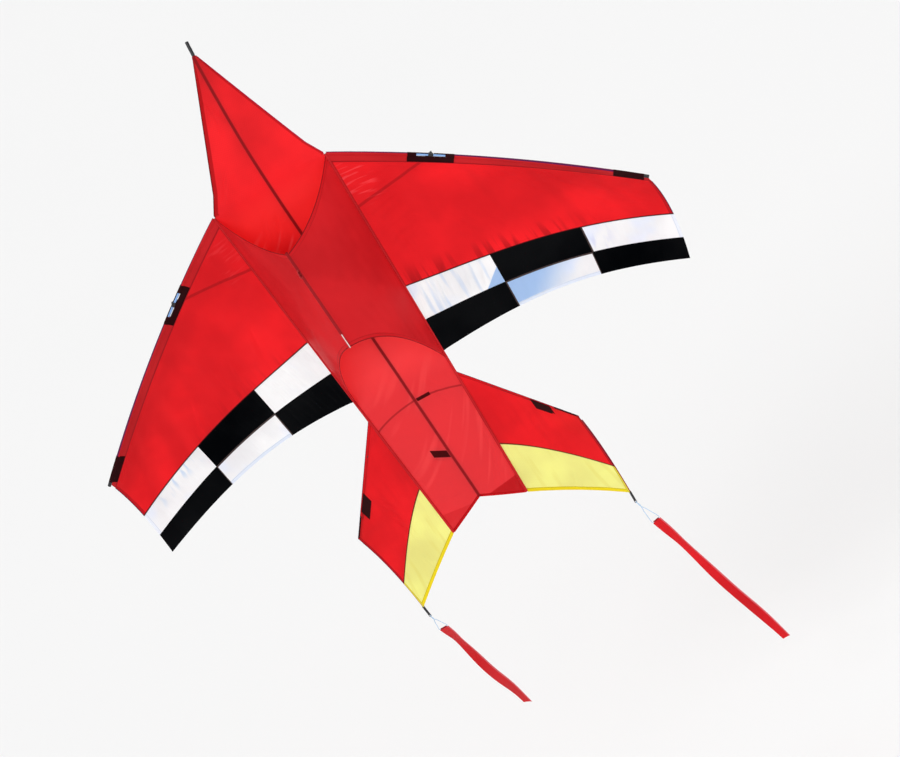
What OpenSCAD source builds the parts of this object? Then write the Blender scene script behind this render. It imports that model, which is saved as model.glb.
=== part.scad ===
// Keeled jet kite: a V-shaped keel cell under a tapered body, swept wings with a
// chequered trailing band, a swept tail with a bowed cross rod, and two ribbon streamers.
// Frame: the origin is the centre of the tow eyelet, +Z runs to the nose, -Y is the keel
// side, and +X is to the right of a viewer who faces the keel side.

/* [Body] */
// Distance from the tow eyelet back to the plane of the two longerons
body_depth = 250; // [240:1:260]
// Height of the shoulders above the tow eyelet
shoulder_up = 154; // [146:1:162]
// Half the width of the body between the longerons at the shoulders
shoulder_half = 158; // [150:1:166]
// Half the width of the body between the longerons at the tail
tail_half = 106; // [100:1:112]
// Height of the body from the tail end of the longerons to the shoulders
body_len = 1013; // [1000:1:1030]
// Depth of the V notch in the tail edge of the body
notch = 50; // [30:1:60]

/* [Nose] */
// Height of the nose cloth above the shoulders
nose_len = 345; // [330:1:360]
// How far the spine stays straight below the shoulders before it bows back
nose_bend_drop = 54; // [40:1:60]
// Radius of the bowed part of the spine
nose_bend_r = 855; // [800:1:950]
// Height of the chamfered corner just above each shoulder
chamfer_up = 45; // [40:1:52]
// Half width of the nose cloth at the top of that chamfer
chamfer_half = 132; // [126:1:136]

/* [Keel] */
// Distance from the tow eyelet back to the axis of the keel spar
keel_back = 12; // [11:0.5:14]
// Drop from the shoulders to the front end of the keel spar
keel_drop = 94; // [84:1:104]
// Length of the keel spar
keel_len = 283; // [270:1:300]
// Length of the keel spar's rear end that is left bare
keel_bare = 40; // [30:1:50]
// Drop from the shoulders to where the keel panels leave the longerons
keel_root_drop = 599; // [590:1:610]
// How far the front edge of a keel panel hangs down in its middle
front_scallop = 20; // [10:1:25]
// How far the rear edge of a keel panel is cut up in its middle
rear_scallop = 40; // [30:1:45]

/* [Wings] */
// Reach of a leading edge from its shoulder to its tip, across the kite
wing_reach = 618; // [600:1:636]
// Drop of a leading edge from its shoulder to its tip
wing_drop = 470; // [450:1:490]
// Distance that a wing tip lies behind the longerons
wing_rise = 46; // [36:1:56]
// Outward bow of a leading edge
wing_bow = 17; // [12:1:22]
// Drop from the shoulders to the root of the trailing edge
te_root_drop = 583; // [575:1:590]
// Reach of the trailing edge from the root to its tip, across the kite
te_reach = 625; // [610:1:640]
// Straight part of the trailing edge's drop from root to tip
te_slope = 75; // [65:1:85]
// Curved part of the trailing edge's drop from root to tip
te_curve = 58; // [50:1:66]
// Backward lift of the trailing edge
te_billow = 98; // [80:1:110]
// Backward camber at the wing tip
tip_camber = 50; // [40:1:60]
// Outward bulge of the tip edge
tip_bulge = 9; // [4:1:14]
// Width of the leading edge sleeve behind the spar's axis
sleeve_w = 22; // [18:1:24]

/* [Spreader] */
// Place of a spreader fitting along the leading edge, from shoulder 0 to tip 1
fitting_u = 0.326; // [0.31:0.001:0.35]
// Distance that the spreader's axis lies behind the longerons
spreader_back = 26; // [25:0.5:28]
// Bow of the spreader towards the tail
spreader_bow = 20; // [12:1:26]
// Length of the opening in the leading edge sleeve
window_len = 70; // [60:1:80]
// Length of the reinforcement round that opening
patch_len = 113; // [105:1:120]

/* [Tail] */
// Drop from the shoulders to the roots of the tail's leading edges
tail_root_drop = 643; // [635:1:650]
// Half span of the tail at its leading edge corners
tail_corner_half = 319; // [310:1:328]
// Drop from the tail's roots to its leading edge corners
tail_corner_drop = 260; // [250:1:270]
// Half span of the tail between its tips
tail_tip_half = 304; // [296:1:310]
// Drop from the leading edge corners to the tips
tail_tip_drop = 281; // [270:1:292]
// Distance that the tips lie behind the longerons
tail_tip_back = 88; // [80:1:96]
// Radius of the cross rod behind the body
hoop_r = 300; // [290:1:310]
// Radius of the cross rod where it turns into a leading edge
hoop_turn_r = 120; // [115:1:125]

/* [Streamers] */
// Length of a streamer ribbon
streamer_len = 480; // [400:10:500]
// Width of a streamer ribbon
streamer_w = 25; // [20:1:30]
// Height of the cord loop that a ribbon hangs from
loop_len = 74; // [66:1:80]

/* [Rods and cloth] */
// Radius of the spine, the leading edge spars and the spreader
rod_r = 3; // [2.8:0.1:3]
// Radius of the longerons and the keel spar
thin_rod_r = 2.5; // [2:0.1:2.6]
// Radius of the tail rods
tail_rod_r = 1.75; // [1.5:0.05:1.75]
// Thickness that stands for a layer of cloth
cloth_t = 0.8; // [0.5:0.1:0.8]
// Radius of the tow eyelet's hole
eyelet_r = 4; // [3:0.5:4.5]

/* [Hidden] */

red = "#e8232c";
deep_red = "#c81f25";
black = "#101216";
white = "#f1f4fa";
yellow = "#f6f088";
rod_grey = "#e9e9e4";
metal = "#c9ccd0";

clear = 0.5;       // gap between a rod's sleeve and the cloth beside it
skin = 0.8;        // wall of a cloth sleeve
slack = 0.1;       // radial room of a rod in a ferrule or a fitting
seam = 0.4;        // gap that a sewn seam leaves between two cloth solids
root_gap = 1.8;    // gap between a longeron's sleeve and the wing or tail cloth beside it
back = [0, 1, 0];
up = [0, 0, 1];

function mix(a, b, t) = a + (b - a) * t;
function unit(v) = v / norm(v);
function hump(t) = 4 * t * (1 - t);
function ease(t) = t * t * (3 - 2 * t);

// --- Body -------------------------------------------------------------------------------
shoulder_z = shoulder_up;
tail_z = shoulder_up - body_len;
longeron_sleeve_r = thin_rod_r + slack + skin;
function longeron_x(z) = mix(shoulder_half, tail_half, (shoulder_z - z) / body_len);
function longeron(z) = [longeron_x(z), body_depth, z];

// --- Spine and nose ---------------------------------------------------------------------
spine_gap = 3.5;   // gap between the plane of the longerons and the spine
spine_y = body_depth + rod_r + spine_gap;
bend_z = shoulder_z - nose_bend_drop;
nose_z = shoulder_z + nose_len;
cap_rise = 32;     // height of the nose cap above the nose cloth
cap_z = nose_z + cap_rise;
spine_sleeve_r = rod_r + slack + skin;
function spine_back(z) = z < bend_z ? 0 : nose_bend_r - sqrt(nose_bend_r ^ 2 - (z - bend_z) ^ 2);
function spine_at(z) = [0, spine_y + spine_back(z), z];

// --- Keel -------------------------------------------------------------------------------
keel_front = [0, keel_back, shoulder_z - keel_drop];
keel_rear = [0, keel_back, shoulder_z - keel_drop - keel_len];
keel_root_z = shoulder_z - keel_root_drop;
keel_sleeve_r = thin_rod_r + slack + skin;
keel_out = unit([body_depth - keel_back, -(shoulder_half + tail_half) / 2, 0]);

// --- Wing surface: u runs from the shoulder to the tip, v from leading to trailing edge ---
te_root_z = shoulder_z - te_root_drop;
le_root = longeron(shoulder_z);
le_tip = le_root + [wing_reach, wing_rise, -wing_drop];
le_dir = unit(le_tip - le_root);
le_out = unit(up - le_dir * (up * le_dir));
le_len = norm(le_tip - le_root);
function le(u) = mix(le_root, le_tip, u) + le_out * wing_bow * hump(u);
function te(u) = [longeron_x(te_root_z) + te_reach * u, body_depth,
                  te_root_z - te_slope * u - te_curve * u * u];
function wing_depth(u, v) = te_billow * sin(165 * u) * v + tip_camber * ease(u) * hump(v);
function wing(u, v) =
    let (a = le(u), b = te(u))
    [mix(a[0], b[0], v) + tip_bulge * u * u * hump(v),
     a[1] + wing_depth(u, v),
     mix(a[2], b[2], v)];
function chord(u) = norm(le(u) - te(u));
// v at a distance d behind the spar's axis, square to the leading edge
function v_at(u, d) = d / norm(cross(te(u) - le(u), le_dir));
// Wing point that lies at the distance d from the leading edge's point u, square to that edge
function beside_le(u, d) =
    let (
        c = te(u) - le(u),
        w = u - d * (c * le_dir) / norm(cross(c, le_dir)) / le_len
    )
    wing(w, v_at(w, d));
root_u = (longeron_sleeve_r + root_gap) / wing_reach;
band_v = function(u) 0.67 + 0.03 * u - 0.135 * u * u;
row_v = function(u) 0.84 + 0.02 * u - 0.05 * u * u;
last_v = function(u) 1;
sleeve_v = function(u) v_at(u, sleeve_w);
columns = [root_u, 0.32, 0.66, 1];
tip_patch_len = 82;
window_near = 6.5; // distance from the spar's axis to the near side of the sleeve's opening
patch_w = 20;      // distance from the spar's axis to the far side of a black patch

// --- Spreader ---------------------------------------------------------------------------
fitting = le(fitting_u);
spreader_y = body_depth + spreader_back;
spreader_past = 3.5;  // how far the spreader's end reaches past a fitting
spreader_end = [fitting[0] + spreader_past, spreader_y, fitting[2]];
spreader_tilt = atan(4 * spreader_bow / (2 * spreader_end[0]));
clip_z = fitting[2] - spreader_past * tan(spreader_tilt);

// --- Tail surface: s runs outwards, t from leading to trailing edge -----------------------
tail_root_z = shoulder_z - tail_root_drop;
tail_corner = [tail_corner_half, body_depth + 2, tail_root_z - tail_corner_drop];
tail_tip = [tail_tip_half, body_depth + tail_tip_back, tail_corner[2] - tail_tip_drop];
tail_seam_t = 0.6;
tail_seam_bow = 0.036;  // bow of the seam towards the leading edge
tail_camber = 14;
function outer_edge(t) =
    let (w = t + 0.1 * hump(t))
    [mix(tail_corner[0], tail_tip[0], w),
     mix(tail_corner[1], tail_tip[1], 1 - (1 - w) ^ 2),
     mix(tail_corner[2], tail_tip[2], w)];
function tail(s, t) =
    let (a = longeron(mix(tail_root_z, tail_z, t)), b = outer_edge(t))
    mix(a, b, s) + back * (tail_camber * hump(s) * t);
function tail_out(s, t) =
    unit(cross(tail(s + 0.01, t) - tail(s - 0.01, t), tail(s, t + 0.01) - tail(s, t - 0.01)));
tail_root_s = (longeron_sleeve_r + root_gap) / (tail_corner_half - shoulder_half);

// --- Cross rod of the tail ----------------------------------------------------------------
// The hoop lies in a plane that leans back by hoop_tilt; each half of it is an arc to
// hoop_split degrees from the top and a tighter turn to hoop_end degrees. From there the
// rod is a leg in the sleeve behind the tail's leading edge
hoop_tilt = 8.5;
hoop_split = 28;
hoop_end = 53;
hoop_back = 14;    // how far the top of the hoop lies behind the longerons
hoop_drop = 16;    // how far the top of the hoop lies below the tail's roots
hoop_flat = [0, sin(hoop_tilt), cos(hoop_tilt)];
hoop_o = [0, body_depth + hoop_back, tail_root_z - hoop_drop] - hoop_flat * hoop_r;
turn_o = (hoop_r - hoop_turn_r) * [sin(hoop_split), cos(hoop_split)];
function in_hoop(p) = hoop_o + [p[0], 0, 0] + hoop_flat * p[1];
function hoop_point(a) = in_hoop(a <= hoop_split
    ? hoop_r * [sin(a), cos(a)] : turn_o + hoop_turn_r * [sin(a), cos(a)]);
leg_in = 10.5;     // drop from the tail's leading edge to the leg
leg_from = 0.3;    // where the leg's sleeve starts across the tail, and where it ends
leg_to = 0.985;
leg_sleeve_r = tail_rod_r + slack + skin;
leg_off = leg_sleeve_r + cloth_t / 2 - slack;
function leg_point(s) =
    let (t = leg_in / norm(tail(s, 1) - tail(s, 0)))
    tail(s, t) + tail_out(s, t) * leg_off;
function leg_path(s1) = [for (i = [0:7]) leg_point(mix(leg_from, s1, i / 7))];
function hoop_path(from_deg) = concat(
    [for (i = [0:14]) hoop_point(mix(from_deg, hoop_end, i / 14))], leg_path(leg_to - 0.015));

// --- Streamers ------------------------------------------------------------------------------
// Directions in which the ribbons hang, and the middle of the hole that a loop runs through
tip_cap_dir = unit(tail_tip - outer_edge(0.9));
cap_len = 30;
loop_eye = tail_tip + tip_cap_dir * cap_len + back * 3;
right_hang = unit([0.225, 0.06, -0.973]);
left_hang = unit([0.01, 0.53, -0.848]);
loop_r = 0.8;
eye_r = 2.25;
hem_r = 2;
// Route of half a loop: across, towards the ribbon's face, and down from the eye
half_loop = [
    [0, 0.1, 0], [0, 1.2, 0.2], [0, 2.3, 0.9], [0, 3, 2], [0, 3.3, 3], [0.5, 3, 5.6],
    [1.1, 2, 8.4], [1.5, 0.5, 11.2], [1, -0.6, 14], [0.2, -1, 17], [-0.6, -0.9, 20],
    [-1.5, -0.5, 23.5], [-2.7, -0.1, 28], [-4.6, 0, 34], [-6.6, 0, 44], [-8.7, 0, 54],
    [-10.5, 0, 63], [-11.9, 0, 70.1], [-11.8, 0, 71.5], [-11.2, 0, 72.8], [-10, 0, 73.7],
    [-8.6, 0, 74], [-4, 0, 74], [0, 0, 74]
];

// --- Shared shapes --------------------------------------------------------------------------
module mirrored(left) {
    mirror([left ? 1 : 0, 0, 0]) children();
}

// Turns local X to ex and local Y to ey, and puts the local origin at o
module placed(o, ex, ey) {
    ez = cross(ex, ey);
    multmatrix([
        [ex[0], ey[0], ez[0], o[0]],
        [ex[1], ey[1], ez[1], o[1]],
        [ex[2], ey[2], ez[2], o[2]],
        [0, 0, 0, 1]
    ]) children();
}

// A direction at a right angle to d
function across(d) = unit(cross(d, abs(d[2]) > 0.9 ? [1, 0, 0] : up));

// A straight rod or tube from p to q
module rod(p, q, r, bore = 0) {
    d = unit(q - p);
    ex = across(d);
    placed(p, ex, cross(d, ex))
        difference() {
            cylinder(h = norm(q - p), r = r, $fn = 32);
            if (bore > 0)
                translate([0, 0, -1]) cylinder(h = norm(q - p) + 2, r = bore, $fn = 32);
        }
}

// A rod or tube on an arc through p and q that bows by sag towards bow_dir; it covers
// the stretch from a to b, measured along the arc from p
module arc_rod(p, q, bow_dir, sag, r, bore = 0, a = 0, b = undef) {
    span = norm(q - p);
    ey = unit(q - p);
    ex = unit(bow_dir - ey * (bow_dir * ey));
    big_r = span ^ 2 / (8 * sag) + sag / 2;
    half = asin(span / 2 / big_r);
    first = a / big_r * 180 / PI;
    last = b == undef ? 2 * half : b / big_r * 180 / PI;
    placed((p + q) / 2 - ex * (big_r - sag), ex, ey)
        rotate([0, 0, first - half])
            rotate_extrude(angle = last - first, $fn = 256)
                translate([big_r, 0])
                    ring(r, bore);
}

module ring(r, bore) {
    difference() {
        circle(r, $fn = 32);
        if (bore > 0)
            circle(bore, $fn = 32);
    }
}

// A closed sheet of thickness t over the surface f(i, j), thickened along n
module sheet(f, nu, nv, n = back, t = cloth_t) {
    turn = cross(f(1, 0.5) - f(0, 0.5), f(0.5, 1) - f(0.5, 0)) * n > 0 ? 1 : -1;
    row = nv + 1;
    layer = (nu + 1) * row;
    points = [for (k = [-0.5, 0.5], i = [0:nu], j = [0:nv])
        f(i / nu, j / nv) + n * (turn * k * t)];
    quads = [
        for (i = [0:nu - 1], j = [0:nv - 1])
            let (c = i * row + j) [c, c + row, c + row + 1, c + 1],
        for (i = [0:nu - 1], j = [0:nv - 1])
            let (c = layer + i * row + j) [c, c + 1, c + row + 1, c + row],
        for (i = [0:nu - 1]) let (c = i * row) [c, c + layer, c + layer + row, c + row],
        for (i = [0:nu - 1])
            let (c = i * row + nv) [c, c + row, c + layer + row, c + layer],
        for (j = [0:nv - 1]) [layer + j, j, j + 1, layer + j + 1],
        for (j = [0:nv - 1])
            let (c = nu * row + j) [c, c + layer, c + layer + 1, c + 1]
    ];
    polyhedron(points, [for (q = quads, h = [[0, 1, 2], [0, 2, 3]]) [for (k = h) q[k]]]);
}

// A round tube swept along a list of points
module swept(path, r, sides = 8) {
    last = len(path) - 1;
    function heading(i) = unit(path[min(i + 1, last)] - path[max(i - 1, 0)]);
    rings = [for (i = [0:last])
        let (d = heading(i), ex = unit(cross(back, d)), ey = cross(d, ex))
        for (k = [0:sides - 1])
            path[i] + r * (ex * cos(360 * k / sides) + ey * sin(360 * k / sides))];
    walls = [for (i = [0:last - 1], k = [0:sides - 1])
        let (a = i * sides + k, b = i * sides + (k + 1) % sides) [a, a + sides, b + sides, b]];
    polyhedron(rings, concat(
        [[for (k = [0:sides - 1]) k]],
        [[for (k = [sides - 1:-1:0]) last * sides + k]],
        [for (q = walls, h = [[0, 1, 2], [0, 2, 3]]) [for (k = h) q[k]]]
    ));
}

// --- Spine ------------------------------------------------------------------------------------
module spine_lower() {
    color(rod_grey) rod(spine_at(tail_z + notch + 4), spine_at(bend_z - 40), rod_r);
}

module spine_arc(r, bore, from_z, to_z) {
    a = asin((from_z - bend_z) / nose_bend_r);
    b = asin((to_z - bend_z) / nose_bend_r);
    placed([0, spine_y + nose_bend_r, bend_z], -back, up)
        rotate([0, 0, a])
            rotate_extrude(angle = b - a, $fn = 256)
                translate([nose_bend_r, 0])
                    ring(r, bore);
}

module spine_upper() {
    color(rod_grey) {
        rod(spine_at(bend_z - 39.5), spine_at(bend_z), rod_r);
        spine_arc(rod_r, 0, bend_z, cap_z - 4);
    }
}

module spine_ferrule() {
    color(metal) rod(spine_at(bend_z - 75), spine_at(bend_z - 5), rod_r + slack + 1, rod_r + slack);
}

module spine_sleeve() {
    color(deep_red) {
        rod(spine_at(tail_z + notch + 12), spine_at(bend_z - 80), spine_sleeve_r, rod_r + slack);
        spine_arc(spine_sleeve_r, rod_r + slack, bend_z + 2, nose_z - 6);
    }
}

module nose_cap() {
    color(black) {
        spine_arc(rod_r + slack + 1.2, rod_r + slack, nose_z - 0.5, cap_z - 3);
        spine_arc(rod_r + slack + 1.2, 0, cap_z - 2.99, cap_z);
    }
}

module spine_tab() {
    rise = 129;
    wide = 34;
    tall = 21;
    lean = 20;
    thick = 1;
    color(black)
        translate([-spine_sleeve_r - 0.3, spine_y + thick / 2, tail_z + notch + rise])
            rotate([90, 0, 0])
                linear_extrude(height = thick)
                    polygon([[0, 0], [0, tall], [-wide, tall + lean], [-wide - 2, lean - 2]]);
}

// --- Longerons --------------------------------------------------------------------------------
module longeron_rod(left) {
    color(rod_grey) mirrored(left)
        rod(longeron(shoulder_z - 4), longeron(tail_z + 4), thin_rod_r);
}

module longeron_sleeve(left) {
    color(deep_red) mirrored(left)
        rod(longeron(shoulder_z - 2), longeron(tail_z + 2), longeron_sleeve_r, thin_rod_r + slack);
}

// --- Keel ---------------------------------------------------------------------------------------
module keel_spar() {
    color(rod_grey) rod(keel_front - up * 3, keel_rear, thin_rod_r);
}

module keel_sleeve() {
    color(deep_red)
        rod(keel_front, keel_rear + up * keel_bare, keel_sleeve_r, thin_rod_r + slack);
}

function keel_surface(s, t) =
    let (
        a = longeron(mix(shoulder_z - 6, keel_root_z, t)),
        b = mix(keel_front, keel_rear, t),
        d = unit([b[0] - a[0], b[1] - a[1], 0]),
        p = a + d * (longeron_sleeve_r + clear),
        q = b - d * (keel_sleeve_r + clear)
    )
    mix(p, q, s) + hump(s) * (keel_out * (mix(4, 17, t) + 4 * hump(t))
        + up * mix(-front_scallop, rear_scallop, t));

module keel_panel(left) {
    color(deep_red) mirrored(left)
        sheet(function(s, t) keel_surface(s, t), 8, 6, keel_out);
}

// Webbing tab on the front of the keel spar, with the eyelet's hole
module tow_tab() {
    tab_t = 1.6;
    tab_r = 11;
    hole_r = eyelet_r + 1 + 0.05;
    reach = keel_back - keel_sleeve_r - 0.2;
    color(black)
        rotate([0, 90, 0])
            linear_extrude(height = tab_t, center = true)
                difference() {
                    intersection() {
                        union() {
                            circle(tab_r, $fn = 48);
                            translate([-tab_r, 0]) square([2 * tab_r, tab_r]);
                        }
                        translate([-tab_r, -tab_r]) square([2 * tab_r, tab_r + reach]);
                    }
                    circle(hole_r, $fn = 48);
                }
}

module tow_eyelet() {
    flange = 8;
    lip = 0.6;
    tab_t = 1.8;
    color(metal)
        rotate([0, 90, 0])
            rotate_extrude($fn = 64)
                union() {
                    translate([eyelet_r, -tab_t / 2 - lip]) square([1, tab_t + 2 * lip]);
                    for (z = [-tab_t / 2 - lip, tab_t / 2])
                        translate([eyelet_r, z]) square([flange - eyelet_r, lip]);
                }
}

// --- Body cloth -----------------------------------------------------------------------------------
nose_flat = 5;     // half width of the strip that lies flat on the spine
nose_tip_half = 4;
function nose_half(z) =
    let (top = shoulder_z + chamfer_up)
    z < top ? mix(shoulder_half - 5, chamfer_half, (z - shoulder_z) / chamfer_up)
            : mix(chamfer_half, nose_tip_half, (z - top) / (nose_z - top));
function nose_edge_y(z) = body_depth + 108 * ((z - shoulder_z) / nose_len) ^ 1.1;
// Cloth of the nose at a distance x from the spine and a height z
function nose_at(x, z) =
    let (
        mid = spine_at(z)[1] - spine_sleeve_r - clear - cloth_t,
        k = max(0, abs(x) - nose_flat) / max(1, nose_half(z) - nose_flat)
    )
    [x, mix(mid, nose_edge_y(z), k ^ 1.3), z];
function nose_surface(s, t) =
    let (
        k = 2 * s - 1,
        z = mix(shoulder_z + seam, nose_z, t < 0.25 ? t / 0.25 * 0.13 : mix(0.13, 1, (t - 0.25) / 0.75)),
        half = nose_half(z),
        flat = min(nose_flat, half / 2)
    )
    nose_at(sign(k) * (abs(k) < 0.3 ? flat * abs(k) / 0.25 : mix(flat, half, (abs(k) - 0.25) / 0.75)), z);

module nose_sail() {
    color(red) sheet(function(s, t) nose_surface(s, t), 8, 12);
}

function body_surface(s, t) =
    let (
        k = 2 * s - 1,
        z = mix(shoulder_z, tail_z + notch * (1 - abs(k)), t)
    )
    [k * (longeron_x(z) - longeron_sleeve_r - clear), body_depth + 0.8, z];

module body_sail() {
    color(red) sheet(function(s, t) body_surface(s, t), 2, 8);
}

// --- Wings --------------------------------------------------------------------------------------
module leading_spar(left) {
    color(rod_grey) mirrored(left)
        arc_rod(le_root, le_tip, le_out, wing_bow, rod_r, 0, 10, le_len - 2);
}

module leading_sleeve(left) {
    r = rod_r + slack + skin;
    mid = le_len * fitting_u;
    gap = window_len / 2;
    gap_u = gap / le_len;
    color(deep_red) mirrored(left) {
        arc_rod(le_root, le_tip, le_out, wing_bow, r, rod_r + slack, 11, mid - gap);
        arc_rod(le_root, le_tip, le_out, wing_bow, r, rod_r + slack, mid + gap, le_len - 8);
        hem(0.018, fitting_u - gap_u, 5, sleeve_w - seam);
        hem(fitting_u - gap_u + 0.001, fitting_u + gap_u - 0.001, window_near, sleeve_w - seam);
        hem(fitting_u + gap_u, 0.99, 5, sleeve_w - seam);
    }
}

// Strip of wing cloth between two distances behind the spar's axis
module hem(u0, u1, near, far) {
    sheet(function(s, k)
        let (u = mix(u0, u1, s)) wing(u, v_at(u, mix(near, far, k))),
        max(2, round(8 * (u1 - u0))), 1);
}

// Black strip beside the wing cloth, with ends that are square to the leading edge
module patch_strip(u0, u1, near, far, side) {
    sheet(function(s, k) beside_le(mix(u0, u1, s), mix(near, far, k)) + back * side,
          2, 1, back, 0.6);
}

// Reinforcement round the opening; the front layer reaches nearer to the spar than the
// back layer, which leaves room for the spreader's fitting
module window_patch(left) {
    half = patch_len / 2 / le_len;
    open = window_len / 2 / le_len;
    off = 1.2;
    color(black) mirrored(left)
        for (side = [-off, off]) {
            near = side < 0 ? window_near + 0.5 : 13;
            patch_strip(fitting_u - half, fitting_u + half, near, patch_w, side);
            if (side < 0)
                for (k = [-1, 1])
                    patch_strip(fitting_u + k * (open + 0.003), fitting_u + k * half,
                                5.2, near - 0.05, side);
        }
}

module tip_patch(left) {
    off = 1.2;
    color(black) mirrored(left)
        for (side = [-off, off])
            patch_strip(1 - tip_patch_len / le_len, 0.988, 6.5, patch_w, side);
}

module spar_tip_cap(left) {
    r = rod_r + slack + 1.2;
    color(black) mirrored(left) {
        arc_rod(le_root, le_tip, le_out, wing_bow, r, rod_r + slack, le_len - 7.5, le_len + 0.3);
        arc_rod(le_root, le_tip, le_out, wing_bow, r, 0, le_len + 0.31, le_len + 6);
    }
}

// Tube on the spar with a channel behind it that the spreader's end snaps into
module spreader_fitting(left) {
    wall = 1.6;
    room = rod_r + 0.4;
    mid = le_len * fitting_u;
    grip = 6;
    inboard = 12;
    outboard = 4.5;
    from_y = fitting[1] + rod_r + slack + 1;
    color(black) mirrored(left) {
        arc_rod(le_root, le_tip, le_out, wing_bow, rod_r + slack + wall, rod_r + slack,
                mid - grip, mid + grip);
        translate([fitting[0], 0, clip_z])
            rotate([0, -spreader_tilt, 0])
                difference() {
                    translate([-inboard, from_y, -room - wall])
                        cube([inboard + outboard, spreader_y + 1.5 - from_y, 2 * (room + wall)]);
                    translate([-inboard - 1, spreader_y - room, -room])
                        cube([inboard + outboard + 2, 2 * room + 4, 2 * room]);
                }
    }
}

// Cloth between two lines of the wing, over the columns u0 to u1
module wing_cloth(u0, u1, v0, v1, nu, nv) {
    sheet(function(s, k)
        let (
            u = mix(u0 + (u0 > root_u ? seam / 2 / wing_reach : 0),
                    u1 - (u1 < 1 ? seam / 2 / wing_reach : 0), s),
            gap = seam / 2 / chord(u)
        )
        wing(u, mix(v0(u) + gap, v1(u) - gap, k)), nu, nv);
}

module wing_sail(left) {
    color(red) mirrored(left) wing_cloth(root_u, 1, sleeve_v, band_v, 10, 4);
}

// One panel of the band: column 0 to 2 from the root, row 0 beside the red, row 1 at the edge
module band_panel(left, column, row) {
    color((column + row) % 2 == 0 ? white : black) mirrored(left)
        wing_cloth(columns[column], columns[column + 1],
                   row == 0 ? band_v : row_v, row == 0 ? row_v : last_v, 3, 2);
}

module main_spreader() {
    color(rod_grey)
        arc_rod([-spreader_end[0], spreader_y, spreader_end[2]], spreader_end, -up,
                spreader_bow, rod_r);
}

// --- Tail ---------------------------------------------------------------------------------------
// Cloth between two lines t0 and t1, each bowed by its own amount
module tail_cloth(t0, t1, bow0, bow1, nv, crowd = 1) {
    sheet(function(s, k)
        tail(mix(tail_root_s, 1, s), mix(t0 - bow0 * hump(s), t1 - bow1 * hump(s), k ^ crowd)),
        6, nv);
}

// The cloth, with the sleeve that the cross rod's leg runs in
module tail_sail(left) {
    color(red) mirrored(left)
        difference() {
            union() {
                tail_cloth(0.012, tail_seam_t - 0.001, 0, tail_seam_bow, 8, 1.6);
                swept(leg_path(leg_to), leg_sleeve_r, 12);
            }
            swept(hoop_path(40), tail_rod_r + slack, 12);
        }
}

module tail_yellow(left) {
    color(yellow) mirrored(left) tail_cloth(tail_seam_t + 0.001, 1, tail_seam_bow, 0, 3);
}

// Black patch on each half, and the black strip from there to the corner
module tail_patches() {
    off = 1.3;
    color(black)
        for (left = [false, true])
            mirrored(left) {
                tail_strip(0.60, 0.76, 0.012, 0.105, off);
                tail_strip(0.80, 0.985, 0.003, 0.017, off);
            }
}

module tail_strip(s0, s1, t0, t1, off) {
    sheet(function(s, k) tail(mix(s0, s1, s), mix(t0, t1, k)) - back * off, 2, 2, back, 0.6);
}

// Half of the cross rod, from an angle beside the top of the hoop to its end
module hoop_half(left, from_deg) {
    color(rod_grey) mirrored(left) swept(hoop_path(from_deg), tail_rod_r, 12);
}

// Moulded tube that joins the halves of the cross rod beside the spine
module hoop_connector() {
    grip = 3.6;
    color(black)
        placed(hoop_o, [1, 0, 0], hoop_flat)
            rotate([0, 0, 90 - 8])
                rotate_extrude(angle = 7, $fn = 256)
                    translate([hoop_r, 0]) ring(grip, tail_rod_r + slack);
}

module tail_edge_rod(left) {
    bow = 17.5;
    off = back * 3.2;
    color(rod_grey) mirrored(left)
        arc_rod(outer_edge(0.06) + off, outer_edge(0.985) + off, back, bow, tail_rod_r);
}

// Caps on the tail tips, each with a flat end whose eye a cord loop runs through
module tail_tip_caps() {
    body_r = tail_rod_r + slack + 1.2;
    tab_t = 1.2;
    tab_r = 3.3;
    color(black)
        for (left = [false, true])
            mirrored(left)
                difference() {
                    union() {
                        rod(outer_edge(0.99) + back * 3.2, loop_eye - tip_cap_dir * tab_r, body_r);
                        translate(loop_eye) {
                            translate([-body_r, -tab_t / 2, 0]) cube([2 * body_r, tab_t, tab_r + 2]);
                            eye(tab_r, tab_t);
                        }
                    }
                    translate(loop_eye) eye(eye_r, tab_t + 1);
                }
}

module eye(r, t) {
    rotate([90, 0, 0]) cylinder(h = t, r = r, center = true, $fn = 48);
}

// --- Streamers --------------------------------------------------------------------------------------
// Width direction of a ribbon that hangs along d
function ribbon_side(d) = unit(cross(back, d));
function hang(left) = left ? left_hang : right_hang;
function eye_at(left) = [(left ? -1 : 1) * loop_eye[0], loop_eye[1], loop_eye[2]];

// One line that runs from the eye round the ribbon's hem and back
module streamer_loop(left) {
    d = hang(left);
    side = ribbon_side(d);
    face = cross(d, side);
    last = len(half_loop) - 1;
    route = concat(half_loop, [for (i = [last - 1:-1:0])
        [-half_loop[i][0], -half_loop[i][1], half_loop[i][2]]]);
    color(white)
        swept([for (p = route) eye_at(left) + side * p[0] + face * p[1] + d * p[2]], loop_r);
}

// Ribbon with a rolled hem at its top that the loop runs through
module streamer(left) {
    d = hang(left);
    side = ribbon_side(d);
    face = cross(d, side);
    foot = eye_at(left) + d * loop_len;
    top = foot + d * (hem_r + 0.05);
    hem_half = 8.4;
    wave = 6;
    color(red) {
        rod(foot - side * hem_half, foot + side * hem_half, hem_r, loop_r + 0.4);
        sheet(function(s, k)
            top + side * mix(-streamer_w / 2, streamer_w / 2, s) + d * streamer_len * k
                + face * (wave * sin(520 * k)), 1, 16, face, 1.6);
    }
}

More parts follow.
